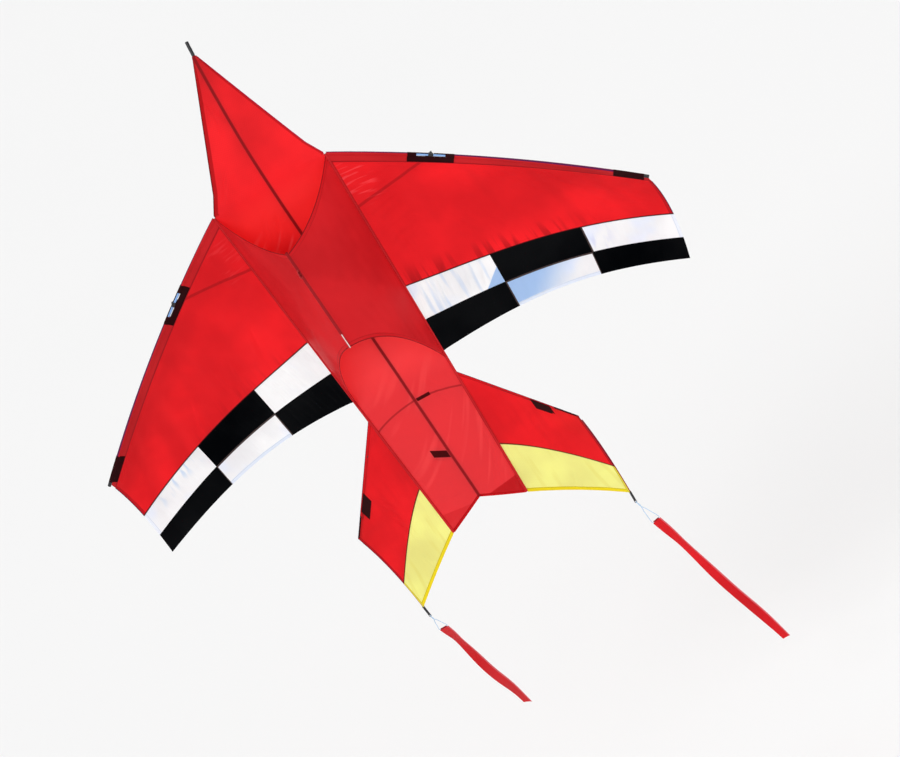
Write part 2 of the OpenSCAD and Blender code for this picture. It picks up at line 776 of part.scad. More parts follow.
nose_cap();
spine_upper();
spine_lower();
spine_ferrule();
spine_sleeve();
longeron_rod(true);  // left_longeron
longeron_rod(false);  // right_longeron
longeron_sleeve(true);  // left_longeron_sleeve
longeron_sleeve(false);  // right_longeron_sleeve
keel_spar();
keel_sleeve();
tow_tab();
tow_eyelet();
nose_sail();
body_sail();
keel_panel(true);  // left_keel_panel
keel_panel(false);  // right_keel_panel
spine_tab();
hoop_half(true, -4.5);  // left_hoop_rod
hoop_half(false, 4.6);  // right_hoop_rod
hoop_connector();
tail_edge_rod(true);  // left_tail_edge_rod
tail_edge_rod(false);  // right_tail_edge_rod
tail_tip_caps();
tail_sail(true);  // left_tail_sail
tail_sail(false);  // right_tail_sail
tail_yellow(true);  // left_tail_yellow
tail_yellow(false);  // right_tail_yellow
tail_patches();
main_spreader();
leading_spar(true);  // left_leading_spar
leading_spar(false);  // right_leading_spar
leading_sleeve(true);  // left_leading_sleeve
leading_sleeve(false);  // right_leading_sleeve
spreader_fitting(true);  // left_spreader_fitting
spreader_fitting(false);  // right_spreader_fitting
window_patch(true);  // left_window_patch
window_patch(false);  // right_window_patch
tip_patch(true);  // left_tip_patch
tip_patch(false);  // right_tip_patch
spar_tip_cap(true);  // left_spar_cap
spar_tip_cap(false);  // right_spar_cap
wing_sail(true);  // left_wing_sail
wing_sail(false);  // right_wing_sail
band_panel(true, 0, 0);  // left_white_inner
band_panel(true, 1, 0);  // left_black_middle
band_panel(true, 2, 0);  // left_white_outer
band_panel(true, 0, 1);  // left_black_inner
band_panel(true, 1, 1);  // left_white_middle
band_panel(true, 2, 1);  // left_black_outer
band_panel(false, 0, 0);  // right_white_inner
band_panel(false, 1, 0);  // right_black_middle
band_panel(false, 2, 0);  // right_white_outer
band_panel(false, 0, 1);  // right_black_inner
band_panel(false, 1, 1);  // right_white_middle
band_panel(false, 2, 1);  // right_black_outer
streamer_loop(true);  // left_streamer_loop
streamer_loop(false);  // right_streamer_loop
streamer(true);  // left_streamer
streamer(false);  // right_streamer
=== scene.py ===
"""Looks of the keeled jet kite: its cloth, hems, seams, patches, rods, cords and ribbons."""
import math
import bmesh
import bpy
import numpy as np
from mathutils import Matrix, Vector


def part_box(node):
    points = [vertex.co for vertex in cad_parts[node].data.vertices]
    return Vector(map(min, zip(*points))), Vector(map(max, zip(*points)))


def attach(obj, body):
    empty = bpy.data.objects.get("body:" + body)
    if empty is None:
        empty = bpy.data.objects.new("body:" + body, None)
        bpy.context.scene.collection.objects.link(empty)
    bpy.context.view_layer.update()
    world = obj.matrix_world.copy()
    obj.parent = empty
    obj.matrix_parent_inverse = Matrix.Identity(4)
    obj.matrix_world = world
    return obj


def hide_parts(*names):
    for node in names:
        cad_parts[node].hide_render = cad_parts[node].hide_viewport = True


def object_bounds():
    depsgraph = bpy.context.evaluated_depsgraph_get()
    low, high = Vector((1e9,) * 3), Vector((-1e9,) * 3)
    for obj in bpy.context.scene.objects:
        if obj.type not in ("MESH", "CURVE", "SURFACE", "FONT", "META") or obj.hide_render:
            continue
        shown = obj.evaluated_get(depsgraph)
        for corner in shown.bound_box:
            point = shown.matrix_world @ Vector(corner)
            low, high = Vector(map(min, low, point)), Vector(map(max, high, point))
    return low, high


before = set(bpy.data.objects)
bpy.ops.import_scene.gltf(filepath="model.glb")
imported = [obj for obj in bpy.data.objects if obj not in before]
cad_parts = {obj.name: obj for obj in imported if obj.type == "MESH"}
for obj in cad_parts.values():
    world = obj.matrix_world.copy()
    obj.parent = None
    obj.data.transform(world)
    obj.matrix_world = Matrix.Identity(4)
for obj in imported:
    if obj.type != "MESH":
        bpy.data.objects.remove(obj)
cad_low, cad_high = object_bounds()

# --- Design sizes in metres, read from the frame where a node shows them
body_low, body_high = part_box("body_sail")
sleeve_low, sleeve_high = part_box("right_longeron_sleeve")
keel_low, keel_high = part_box("keel_spar")
sleeve_r = 0.0034                        # outer radius of a longeron's sleeve
shoulder_z = body_high[2]
tail_z = body_low[2]
body_len = shoulder_z - tail_z
body_y = (sleeve_low[1] + sleeve_high[1]) / 2
shoulder_half = 0.158
tail_half = 0.106
notch = 0.050
nose_len = 0.345
nose_bend_drop = 0.054
nose_bend_r = 0.855
chamfer_up = 0.045
nose_flat = 0.005
chamfer_half = 0.132
nose_edge_back = 0.108
spine_gap = 0.0052                       # from the spine's axis to the cloth in front
fold_power = 1.3                         # how sharply the cloth bends at the spine
keel_y = (keel_low[1] + keel_high[1]) / 2
keel_front_z = keel_high[2] - 0.003
keel_rear_z = keel_low[2]
keel_root_z = shoulder_z - 0.599
front_scallop = 0.020
rear_scallop = 0.040
keel_full = 0.004, 0.017, 0.004          # bulge of a keel panel: front, rear, more between
wing_reach = 0.618
wing_drop = 0.470
wing_rise = 0.046
wing_bow = 0.017
te_root_z = shoulder_z - 0.583
te_reach = 0.625
te_slope = 0.075
te_curve = 0.058
te_billow = 0.098
billow_turn = 165                        # degrees of a sine wave, from root to tip
tip_camber = 0.050
tip_bulge = 0.009
sleeve_w = 0.022
fitting_u = 0.326
window_near = 0.0065
patch_w = 0.020
window_len = 0.070
fitting_half = 0.0075
patch_len = 0.113
tip_patch_len = 0.082
spreader_bow = 0.020
tail_root_z = shoulder_z - 0.643
tail_corner = np.array([0.319, body_y + 0.002, tail_root_z - 0.260])
tail_tip = np.array([0.304, body_y + 0.088, tail_root_z - 0.541])
tail_seam_t = 0.6
tail_seam_bow = 0.036
tail_billow = 0.014
hoop_r = 0.300
cloth_t = 0.0005
rod_r = 0.003


def mix(a, b, t):
    return a + (b - a) * t


def hump(t):
    return 4 * t * (1 - t)


def ease(t):
    return t * t * (3 - 2 * t)


def unit(v):
    return v / np.maximum(np.linalg.norm(v, axis=-1, keepdims=True), 1e-12)


def points(x, y, z):
    return np.stack(np.broadcast_arrays(x, y, z), axis=-1).astype(float)


# --- Camera
def add_object(name, data):
    """Puts a mesh, curve, lamp or camera into the scene."""
    obj = bpy.data.objects.new(name, data)
    bpy.context.scene.collection.objects.link(obj)
    return obj


def add_camera():
    """The keel side, seen from a little above and turned so that the nose points up left."""
    azimuth, elevation, roll = math.radians(12.94), math.radians(19.15), math.radians(33.93)
    distance = 10.173
    seen_width = 2.16
    aim_right, aim_down = 0.1017, 0.6117
    back = np.array([math.sin(azimuth) * math.cos(elevation),
                     -math.cos(azimuth) * math.cos(elevation), math.sin(elevation)])
    right = np.array([math.cos(azimuth), math.sin(azimuth), 0.0])
    up = np.cross(back, right)
    target = np.array([0, body_y, shoulder_z - 0.015]) + right * aim_right - up * aim_down
    x_axis = right * math.cos(roll) - up * math.sin(roll)
    y_axis = right * math.sin(roll) + up * math.cos(roll)
    data = bpy.data.cameras.new("camera")
    data.sensor_width = 36
    data.lens = 36 * distance / seen_width
    data.clip_end = 200
    cam = add_object("camera", data)
    pose = np.eye(4)
    pose[:3] = np.stack([x_axis, y_axis, back, target + back * distance], axis=1)
    cam.matrix_world = Matrix(pose.tolist())
    bpy.context.scene.camera = cam


add_camera()


# --- Surfaces (right side; the left side is their mirror image)
def longeron_x(z):
    return mix(shoulder_half, tail_half, (shoulder_z - z) / body_len)


def longeron(z):
    return points(longeron_x(z), body_y, z)


le_root = np.array([shoulder_half, body_y, shoulder_z])
le_tip = le_root + np.array([wing_reach, wing_rise, -wing_drop])
le_dir = unit(le_tip - le_root)
le_out = unit(np.array([0, 0, 1.0]) - le_dir * le_dir[2])
le_len = float(np.linalg.norm(le_tip - le_root))


def le(u):
    u = np.asarray(u, float)[..., None]
    return mix(le_root, le_tip, u) + le_out * wing_bow * hump(u)


def te(u):
    u = np.asarray(u, float)
    return points(longeron_x(te_root_z) + te_reach * u, body_y,
                  te_root_z - te_slope * u - te_curve * u * u)


def slant(u):
    """Height of the wing square to its leading edge, and that chord's reach along the edge."""
    c = te(u) - le(u)
    return np.linalg.norm(np.cross(c, le_dir), axis=-1), c @ le_dir


def v_at(u, d):
    return d / slant(u)[0]


def wing(u, v):
    u, v = np.broadcast_arrays(np.asarray(u, float), np.asarray(v, float))
    a, b = le(u), te(u)
    depth = te_billow * np.sin(np.radians(billow_turn * u)) * v + tip_camber * ease(u) * hump(v)
    depth = depth * ease(np.clip((u - 0.005) / 0.012, 0, 1))     # none on the longeron
    return points(mix(a[..., 0], b[..., 0], v) + tip_bulge * u * u * hump(v),
                  a[..., 1] + depth, mix(a[..., 2], b[..., 2], v))


def beside_le(u, d, square=1.0):
    """Wing point at the distance d behind the leading edge's point u. With square at 1 it
    lies square to that edge, and with square at 0 it lies along the chord."""
    high, reach = slant(u)
    w = u - square * d * reach / high / le_len
    return wing(w, v_at(w, d))


def band_v(u):
    return 0.67 + 0.03 * u - 0.135 * u * u


def row_v(u):
    return 0.84 + 0.02 * u - 0.05 * u * u


def outer_edge(t):
    w = t + 0.1 * hump(t)
    return points(mix(tail_corner[0], tail_tip[0], w),
                  mix(tail_corner[1], tail_tip[1], 1 - (1 - w) ** 2),
                  mix(tail_corner[2], tail_tip[2], w))


def tail(s, t):
    s, t = np.broadcast_arrays(np.asarray(s, float), np.asarray(t, float))
    p = mix(longeron(mix(tail_root_z, tail_z, t)), outer_edge(t), s[..., None])
    p[..., 1] += tail_billow * hump(s) * t
    return p


spine_y = body_y + rod_r + 0.0035
bend_z = shoulder_z - nose_bend_drop


def spine_back(z):
    d = np.maximum(np.asarray(z, float) - bend_z, 0)
    return nose_bend_r - np.sqrt(nose_bend_r ** 2 - d ** 2)


def nose_half(z):
    top = shoulder_z + chamfer_up
    low = mix(shoulder_half + 0.001, chamfer_half, (z - shoulder_z) / chamfer_up)
    high = mix(chamfer_half, 0.004, (z - top) / (nose_len - chamfer_up))
    return np.where(z < top, low, high)


def nose(s, t):
    """The nose sail: s across from left to right, t from the shoulders to the nose."""
    k = 2 * s - 1
    z = shoulder_z + nose_len * t
    mid = spine_y + spine_back(z) - spine_gap
    edge = body_y + nose_edge_back * np.maximum(t, 0) ** 1.1
    wide = nose_half(z)
    rise = np.maximum(np.abs(k) * wide - nose_flat, 0) / np.maximum(wide - nose_flat, 0.001)
    return points(k * wide, mix(mid, edge, rise ** fold_power), z)


def body(s, t):
    """The body sail: s across, t from the shoulders to the tail."""
    k = 2 * s - 1
    z = mix(shoulder_z, tail_z + notch * (1 - np.abs(k)), t)
    rise = np.maximum(np.abs(k) * shoulder_half - nose_flat, 0) / (shoulder_half - nose_flat)
    top = mix(spine_y + spine_back(shoulder_z) - spine_gap, body_y, rise ** fold_power)
    y = mix(top, body_y + 0.0008 - 0.0022 * hump(np.abs(k)), ease(np.clip(t / 0.08, 0, 1)))
    return points(k * (longeron_x(z) - sleeve_r + 0.001), y, z)


keel_out = unit(np.array([body_y - keel_y, -(shoulder_half + tail_half) / 2, 0.0]))


def keel(s, t):
    """A keel panel: s from the longeron to the keel line, t from front to rear."""
    s, t = np.broadcast_arrays(np.asarray(s, float), np.asarray(t, float))
    a = longeron(mix(shoulder_z - 0.006, keel_root_z, t))
    b = points(0 * t, keel_y, mix(keel_front_z, keel_rear_z, t))
    d = b - a
    d[..., 2] = 0
    d = unit(d)
    p = mix(a + d * (sleeve_r + 0.0002), b - d * (sleeve_r + 0.0002), s[..., None])
    front, rear, between = keel_full
    out = (mix(front, rear, t) + between * hump(t)) * hump(s)
    p = p + keel_out * out[..., None]
    p[..., 2] += hump(s) * mix(-front_scallop, rear_scallop, t)
    return p


# --- Mesh making
def new_object(name, verts, faces, smooth=True):
    mesh = bpy.data.meshes.new(name)
    mesh.from_pydata([tuple(v) for v in verts], [], [tuple(int(i) for i in f) for f in faces])
    mesh.update()
    if smooth:
        mesh.shade_smooth()
    return add_object(name, mesh)


def loop_points(obj):
    """The number of the mesh point at each face corner."""
    points_at = np.empty(len(obj.data.loops), int)
    obj.data.loops.foreach_get("vertex_index", points_at)
    return points_at


def set_uv(obj, layer, x, y):
    uv = obj.data.uv_layers.new(name=layer)
    uv.data.foreach_set("uv", np.stack([x, y], axis=1).ravel())


def grid_normals(p):
    return unit(np.cross(np.gradient(p, axis=0), np.gradient(p, axis=1)))


def edge_lengths(p):
    """Distances in metres of each grid point from the four edges of its sheet."""
    du = np.linalg.norm(np.diff(p, axis=0), axis=-1)
    dv = np.linalg.norm(np.diff(p, axis=1), axis=-1)
    a = np.vstack([np.zeros((1, p.shape[1])), np.cumsum(du, axis=0)])
    b = np.hstack([np.zeros((p.shape[0], 1)), np.cumsum(dv, axis=1)])
    return a, b, a[-1:, :] - a, b[:, -1:] - b


def crease_field(a, b, creases):
    """Height of a set of folds: each is (x0, y0, x1, y1, width, height) in sheet metres."""
    h = np.zeros_like(a)
    for x0, y0, x1, y1, width, height in creases:
        dx, dy = x1 - x0, y1 - y0
        long = math.hypot(dx, dy)
        t = ((a - x0) * dx + (b - y0) * dy) / long ** 2
        off = ((a - x0) * dy - (b - y0) * dx) / long
        taper = np.clip(hump(np.clip(t, 0, 1)), 0, 1) ** 0.6
        w = width * (0.55 + 0.9 * np.clip(t, 0, 1))
        ridge, valley = np.exp(-(off / w) ** 2), np.exp(-((off - 1.7 * w) / w) ** 2)
        h += height * taper * (ridge - 0.45 * valley)
    return h


def soft_noise(a, b, seed, scale, height, stretch=(1, 1)):
    """Smooth low waves: a sum of a few sine waves in seeded directions."""
    r = np.random.default_rng(seed)
    h = np.zeros_like(a)
    for _ in range(9):
        ang, ph = r.uniform(0, math.pi), r.uniform(0, 2 * math.pi)
        k = 2 * math.pi / (scale * r.uniform(0.6, 1.8))
        h += np.sin(k * (a / stretch[0] * math.cos(ang) + b / stretch[1] * math.sin(ang)) + ph)
    return height * h / 9 ** 0.5


def relief_of(creases, *waves):
    """Relief of a cloth: folds, and waves given as seed, scale, height and stretch."""
    def relief(a, b):
        h = crease_field(a, b, creases)
        for wave in waves:
            h = h + soft_noise(a, b, *wave)
        return h
    return relief


def cloth_shell(name, p, left=False, t=cloth_t, relief=None, calm=0.012):
    """A closed thin shell over the grid p, with relief along its normal that fades at the
    sheet's edges over the distance calm. UV maps hold the distances from the four edges."""
    a, b, c, d = edge_lengths(p)
    n = grid_normals(p)
    if relief is not None:
        near = np.minimum(np.minimum(a, b), np.minimum(c, d))
        p = p + n * (relief(a, b) * ease(np.clip(near / calm, 0, 1)))[..., None]
        n = grid_normals(p)
    if n[..., 1].mean() < 0:
        n = -n
    nu, nv = p.shape[0] - 1, p.shape[1] - 1
    verts = np.stack([p - n * t / 2, p + n * t / 2]).reshape(-1, 3)
    index = np.arange(2 * (nu + 1) * (nv + 1)).reshape(2, nu + 1, nv + 1)

    def quads(*corners):
        return np.stack([numbers.ravel() for numbers in corners], axis=1)

    f, k = index[0], index[1]
    faces = np.vstack([
        quads(f[:-1, :-1], f[1:, :-1], f[1:, 1:], f[:-1, 1:]),
        quads(k[:-1, :-1], k[:-1, 1:], k[1:, 1:], k[1:, :-1]),
        quads(f[:-1, 0], k[:-1, 0], k[1:, 0], f[1:, 0]),
        quads(f[:-1, -1], f[1:, -1], k[1:, -1], k[:-1, -1]),
        quads(f[0, :-1], f[0, 1:], k[0, 1:], k[0, :-1]),
        quads(f[-1, :-1], k[-1, :-1], k[-1, 1:], f[-1, 1:]),
    ])
    turn = np.cross(p[1, 0] - p[0, 0], p[0, 1] - p[0, 0]) @ n[0, 0]
    if turn > 0:
        faces = faces[:, ::-1]
    if left:
        verts[:, 0] *= -1
        faces = faces[:, ::-1]
    obj = new_object(name, verts, faces)
    obj.data.set_sharp_from_angle(angle=math.radians(60))
    at = loop_points(obj) % a.size
    set_uv(obj, "near", a.ravel()[at], b.ravel()[at])
    set_uv(obj, "far", c.ravel()[at], d.ravel()[at])
    return obj


def loft(name, rings, left=False, closed_ends=True):
    """A closed surface through rings of points, shape (rings, points, 3)."""
    n, m = rings.shape[:2]
    verts = rings.reshape(-1, 3).copy()
    around = [(j, (j + 1) % m) for j in range(m)]
    faces = [(i + j, i + k, i + m + k, i + m + j) for i in range(0, (n - 1) * m, m)
             for j, k in around]
    if closed_ends:
        faces.append(tuple(range(m - 1, -1, -1)))
        faces.append(tuple(range((n - 1) * m, n * m)))
    if left:
        verts[:, 0] *= -1
        faces = [f[::-1] for f in faces]
    obj = new_object(name, verts, faces)
    obj.data.set_sharp_from_angle(angle=math.radians(55))
    return obj


def tube_rings(path, r, sides=20):
    """Rings of radius r along a path."""
    d = unit(np.gradient(path, axis=0))
    ex = unit(np.cross(np.array([0, 1.0, 0]), d))
    ey = np.cross(d, ex)
    ang = np.linspace(0, 2 * math.pi, sides, endpoint=False)[:, None]
    return path[:, None] + r * (ex[:, None] * np.cos(ang) + ey[:, None] * np.sin(ang))


def uv_by_place(obj):
    """UV maps in metres for cloth that isn't a grid: x and z as they lie."""
    co = np.empty(len(obj.data.vertices) * 3)
    obj.data.vertices.foreach_get("co", co)
    co = co.reshape(-1, 3)[loop_points(obj)]
    for layer in ("near", "far"):
        set_uv(obj, layer, co[:, 0] + 2, co[:, 2] + 3)


def pipe(name, path, r, bore, left=False):
    """A tube along a path, open at both ends."""
    outer, inner = tube_rings(path, r), tube_rings(path, bore)
    obj = loft(name, np.concatenate([outer, inner[::-1], outer[:1]]), left, closed_ends=False)
    weld(obj)
    uv_by_place(obj)
    return obj


def weld(obj):
    """Joins points of a mesh that lie in one place."""
    bm = bmesh.new()
    bm.from_mesh(obj.data)
    bmesh.ops.remove_doubles(bm, verts=bm.verts, dist=1e-6)
    bmesh.ops.recalc_face_normals(bm, faces=bm.faces)
    bm.to_mesh(obj.data)
    bm.free()


# --- Materials
mats = {}


class Nodes:
    """Adds nodes to one new material and links them."""

    def __init__(self, name):
        mats[name] = bpy.data.materials.new(name)
        mats[name].use_nodes = True
        self.tree = mats[name].node_tree
        self.tree.nodes.clear()
        self.out = self.tree.nodes.new("ShaderNodeOutputMaterial")

    def put(self, socket, value):
        """Links an input to another node's output, or sets its value."""
        if isinstance(value, bpy.types.NodeSocket):
            self.tree.links.new(value, socket)
        else:
            socket.default_value = value

    def add(self, kind, inputs=(), out=0, **settings):
        """Adds a node, fills its inputs, and gives one of its outputs."""
        node = self.tree.nodes.new("ShaderNode" + kind)
        for key, value in settings.items():
            setattr(node, key, value)
        for key, value in dict(inputs).items():
            self.put(node.inputs[key], value)
        return node.outputs[out]

    def math(self, op, *values):
        return self.add("Math", enumerate(values), operation=op)

    def times(self, a, b):
        return self.math("MULTIPLY", a, b)

    def plus(self, a, b):
        return self.math("ADD", a, b)

    def minus(self, a, b):
        return self.math("SUBTRACT", a, b)

    def smooth(self, x, low, high):
        """0 where x is at low, 1 where it is at high, and smooth between."""
        return self.add("MapRange", {"Value": x, "From Min": low, "From Max": high}, "Result",
                        interpolation_type="SMOOTHSTEP")

    def close(self, x, middle, outer, inner):
        """1 where x lies within inner of the middle, fading to 0 at outer."""
        return self.smooth(self.math("ABSOLUTE", self.minus(x, middle)), outer, inner)

    def blend(self, fac, a, b):
        node = self.add("Mix", {"Factor": fac}, data_type="RGBA").node
        for key, value in (("A", a), ("B", b)):
            socket = next(s for s in node.inputs if s.name == key and s.type == "RGBA")
            self.put(socket, value if isinstance(value, bpy.types.NodeSocket) else (*value, 1.0))
        return next(s for s in node.outputs if s.type == "RGBA")

    def noise(self, place, scale, detail=2.0):
        return self.add("TexNoise", {"Vector": place, "Scale": scale, "Detail": detail}, "Fac")

    def bump(self, height, strength, distance):
        return self.add("Bump", {"Height": height, "Strength": strength, "Distance": distance})

    def split(self, vector):
        return self.add("SeparateXYZ", {0: vector}).node.outputs

    def place(self):
        """Object coordinates, as one vector and as x, y and z."""
        vector = self.add("TexCoord", out="Object")
        return vector, self.split(vector)

    def uv(self, layer):
        return self.split(self.add("UVMap", uv_map=layer))

    def surface(self, shader):
        self.put(self.out.inputs["Surface"], shader)


def srgb(r, g, b):
    def lin(c):
        c /= 255
        return c / 12.92 if c <= 0.04045 else ((c + 0.055) / 1.055) ** 2.4
    return (lin(r), lin(g), lin(b))


RED = srgb(242, 31, 40)
# the wings' red cloth, painted lighter and pinker on the nose and body as painted light
LIT_BODY_RED = srgb(242, 52, 60)
KEEL_RED = srgb(222, 28, 36)
SLEEVE_RED = srgb(196, 24, 31)
DARK_RED = srgb(150, 20, 26)
PURPLE = srgb(92, 24, 74)
YELLOW = srgb(252, 247, 158)
YELLOW_HEM = srgb(244, 226, 40)
WHITE = srgb(253, 253, 255)
BLACK = srgb(1, 2, 4)
BROWN = srgb(80, 66, 64)
DARK_SEAM = srgb(96, 16, 20)
PATCH = srgb(40, 5, 8)
# pale blue painted on the white cloth as shade
PAINTED_BLUE_SHADE = srgb(182, 210, 242)


def shade(colour, share):
    return tuple(c * share for c in colour)


def lighter(colour, share, more):
    return tuple(min(1, c * share + more) for c in colour)


def cloth_material(name, colour, hems=(), seams=(), shadows=(), marks=(), glow=0.28, tint=None,
                   rough=0.5, grid=0.05, thread=None, sheen=0.05, gloss=0.10):
    """Ripstop cloth. hems and seams: (edge, width, colour) where edge is one of a, b, c, d;
    shadows: (function of the node helper that masks a part behind the cloth, share of the
    colour left there); marks: (function of the node helper and the edge distances, colour);
    glow: share of the light that comes through; grid: how dark the thicker threads are."""
    n = Nodes(name)
    place, xyz = n.place()
    ab, cd = n.uv("near"), n.uv("far")
    edge = {"a": ab[0], "b": ab[1], "c": cd[0], "d": cd[1], "x": xyz[0], "z": xyz[2]}
    along = {"a": ab[1], "b": ab[0], "c": ab[1], "d": ab[0]}
    grid_step, stitch_step, stitch_in = 0.005, 0.004, 0.0016

    cloud = n.smooth(n.noise(place, 5.0, 3.0), 0.3, 0.7)
    base = n.blend(cloud, shade(colour, 0.90), lighter(colour, 1.10, 0.004))
    if tint is not None:
        base = n.blend(n.smooth(n.noise(place, 11.0), 0.5, 0.78), base, tint)

    # the grid of thicker threads, and the fine weave between them
    lines = [n.smooth(n.math("PINGPONG", n.times(c, 1 / grid_step), 0.5), 0.09, 0.03)
             for c in (ab[0], ab[1])]
    ripstop = n.math("MAXIMUM", *lines)
    base = n.blend(n.times(ripstop, grid * 3), base, shade(colour, 0.62))
    height = n.plus(n.times(ripstop, 0.6), n.times(n.noise(place, 900.0, 1.0), 0.35))

    for mark, mark_colour in marks:
        base = n.blend(mark(n, edge), base, mark_colour)
    for key, width, hem_colour in hems:
        inside = n.smooth(edge[key], width + 0.0004, width - 0.0004)
        stitch = n.close(edge[key], width - stitch_in, 0.0007, 0.0003)
        dash = n.smooth(n.math("PINGPONG", n.times(along[key], 1 / stitch_step), 0.5), 0.10, 0.16)
        base = n.blend(inside, base, hem_colour)
        base = n.blend(n.times(n.times(stitch, dash), 0.8), base,
                       thread or shade(hem_colour, 0.45))
        height = n.minus(n.plus(height, n.times(inside, 1.6)), n.times(stitch, 1.2))
    for key, width, seam_colour in seams:
        inside = n.smooth(edge[key], width + 0.0005, width - 0.0005)
        base = n.blend(inside, base, seam_colour)
        height = n.plus(height, n.times(inside, 1.2))
    for shadow, share in shadows:
        base = n.blend(shadow(n, xyz), base, shade(colour, share))

    normal = n.bump(height, 0.35, 0.0004)
    shader = n.add("BsdfPrincipled", {
        "Base Color": base, "Roughness": rough, "Specular IOR Level": gloss, "Normal": normal,
        "Sheen Weight": sheen, "Sheen Roughness": 0.4, "Sheen Tint": (*colour, 1.0)})
    through = n.add("BsdfTranslucent", {"Color": base, "Normal": normal})
    n.surface(n.add("MixShader", {0: glow, 1: shader, 2: through}))


def solid_material(name, colour, rough=0.4, metallic=0.0, scale=60.0, vary=0.12, bump=0.15,
                   grain=(1, 1, 1), coat=0.0, gloss=0.5):
    """Plastic, glass fibre, webbing or metal, a little uneven in colour, gloss and surface."""
    n = Nodes(name)
    place, _ = n.place()
    noise = n.noise(n.add("Mapping", {"Vector": place, "Scale": grain}), scale, 4.0)
    base = n.blend(noise, shade(colour, 1 - vary), lighter(colour, 1 + vary, 0.003))
    gloss_wear_and_painted_highlight = n.add("MapRange", {"Value": noise, "To Min": max(0.05, rough - 0.08),
                              "To Max": rough + 0.10})
    n.surface(n.add("BsdfPrincipled", {
        "Base Color": base, "Roughness": gloss_wear_and_painted_highlight, "Metallic": metallic, "Coat Weight": coat,
        "Specular IOR Level": gloss, "Normal": n.bump(noise, bump, 0.0003)}))


def spine_shadow(n, xyz):
    return n.times(n.close(xyz[0], 0, 0.0050, 0.0022), 0.9)


def hoop_shadow(n, xyz):
    """The cross rod's arc behind the body."""
    apex = tail_root_z - 0.016
    dz = n.minus(xyz[2], apex - hoop_r)
    r = n.math("SQRT", n.plus(n.times(xyz[0], xyz[0]), n.times(dz, dz)))
    arc = n.times(n.close(r, hoop_r, 0.0034, 0.0012), n.close(xyz[0], 0, 0.146, 0.138))
    return n.times(arc, 0.6)


def spreader_shadow(n, xyz):
    """The main spreader's long arc behind the wings."""
    end_x, end_z = float(spreader_end[0]), float(spreader_end[2])
    r = (2 * end_x) ** 2 / (8 * spreader_bow)
    sag = n.times(n.times(xyz[0], xyz[0]), 1 / (2 * r))
    off = n.minus(n.minus(xyz[2], end_z - spreader_bow), sag)
    return n.times(n.close(off, 0, 0.0052, 0.0022), 0.55)


def tab_shadow(n, xyz):
    """The dark slanted tab beside the spine's tail end, seen through the cloth."""
    middle_x, middle_z, slope = -0.0222, tail_z + notch + 0.1395, 20 / 34
    rise = n.plus(n.times(xyz[0], slope), 0.0025)
    return n.times(n.close(xyz[0], middle_x, 0.0184, 0.0172),
                   n.close(n.plus(xyz[2], rise), middle_z, 0.0112, 0.0100))


def connector_shadow(n, xyz):
    """The connector at the top of the cross rod, seen through the cloth."""
    return n.times(n.close(xyz[0], 0.0235, 0.0190, 0.0178),
                   n.close(xyz[2], tail_root_z - 0.0172, 0.0052, 0.0036))


def stripes(n, x, y, seed, low, high):
    """Soft noise at the place x, y, made 0 below low and 1 above high."""
    return n.smooth(n.noise(n.add("CombineXYZ", {0: x, 1: y, 2: seed}), 1.0, 1.5), low, high)


def streaks(along, across, low, high, seed=0.0):
    """Mark: soft stripes that run down the sheet, this many per metre along and across."""
    return lambda n, edge: stripes(n, n.times(edge["a"], along), n.times(edge["b"], across),
                                   seed, low, high)


def slanted(along, across, low, high, seed=0.0, lean=1.0):
    """Mark: soft stripes that run slantwise over the sheet, falling by lean per metre."""
    def mark(n, edge):
        side = n.plus(n.times(edge["a"], lean), edge["b"])
        down = n.minus(edge["a"], n.times(edge["b"], lean))
        return stripes(n, n.times(side, along), n.times(down, across), seed, low, high)
    return mark


def both(*marks):
    """Mark: the place where all the given marks meet."""
    def mark(n, edge):
        value = marks[0](n, edge)
        for other in marks[1:]:
            value = n.times(value, other(n, edge))
        return value
    return mark


def faded(mark, strength, key=None, near=0.0, reach=0.0):
    """Mark: another mark at a strength, which fades out between two distances from an edge."""
    def mask(n, edge):
        value = n.times(mark(n, edge), strength)
        if key is None:
            return value
        return n.times(value, n.smooth(edge[key], reach, near))
    return mask


def corner(first, second, wide, tall, soft=0.03):
    """Mark: a triangle in the corner between two edges."""
    def mark(n, edge):
        place = n.plus(n.times(edge[first], 1 / wide), n.times(edge[second], 1 / tall))
        return n.smooth(place, 1 + soft, 1 - soft)
    return mark


def strip(key, low, high, soft=0.0012):
    """Mark: a stripe between two distances from an edge."""
    return lambda n, edge: n.times(n.smooth(edge[key], low - soft, low + soft),
                                   n.smooth(edge[key], high + soft, high - soft))


def border(key, wide, soft=0.0012):
    """Mark: a stripe along an edge."""
    return strip(key, -0.01, wide, soft)


fitting = le(fitting_u)
spreader_end = np.array([fitting[0] + 0.0035, body_y + 0.026, fitting[2]])

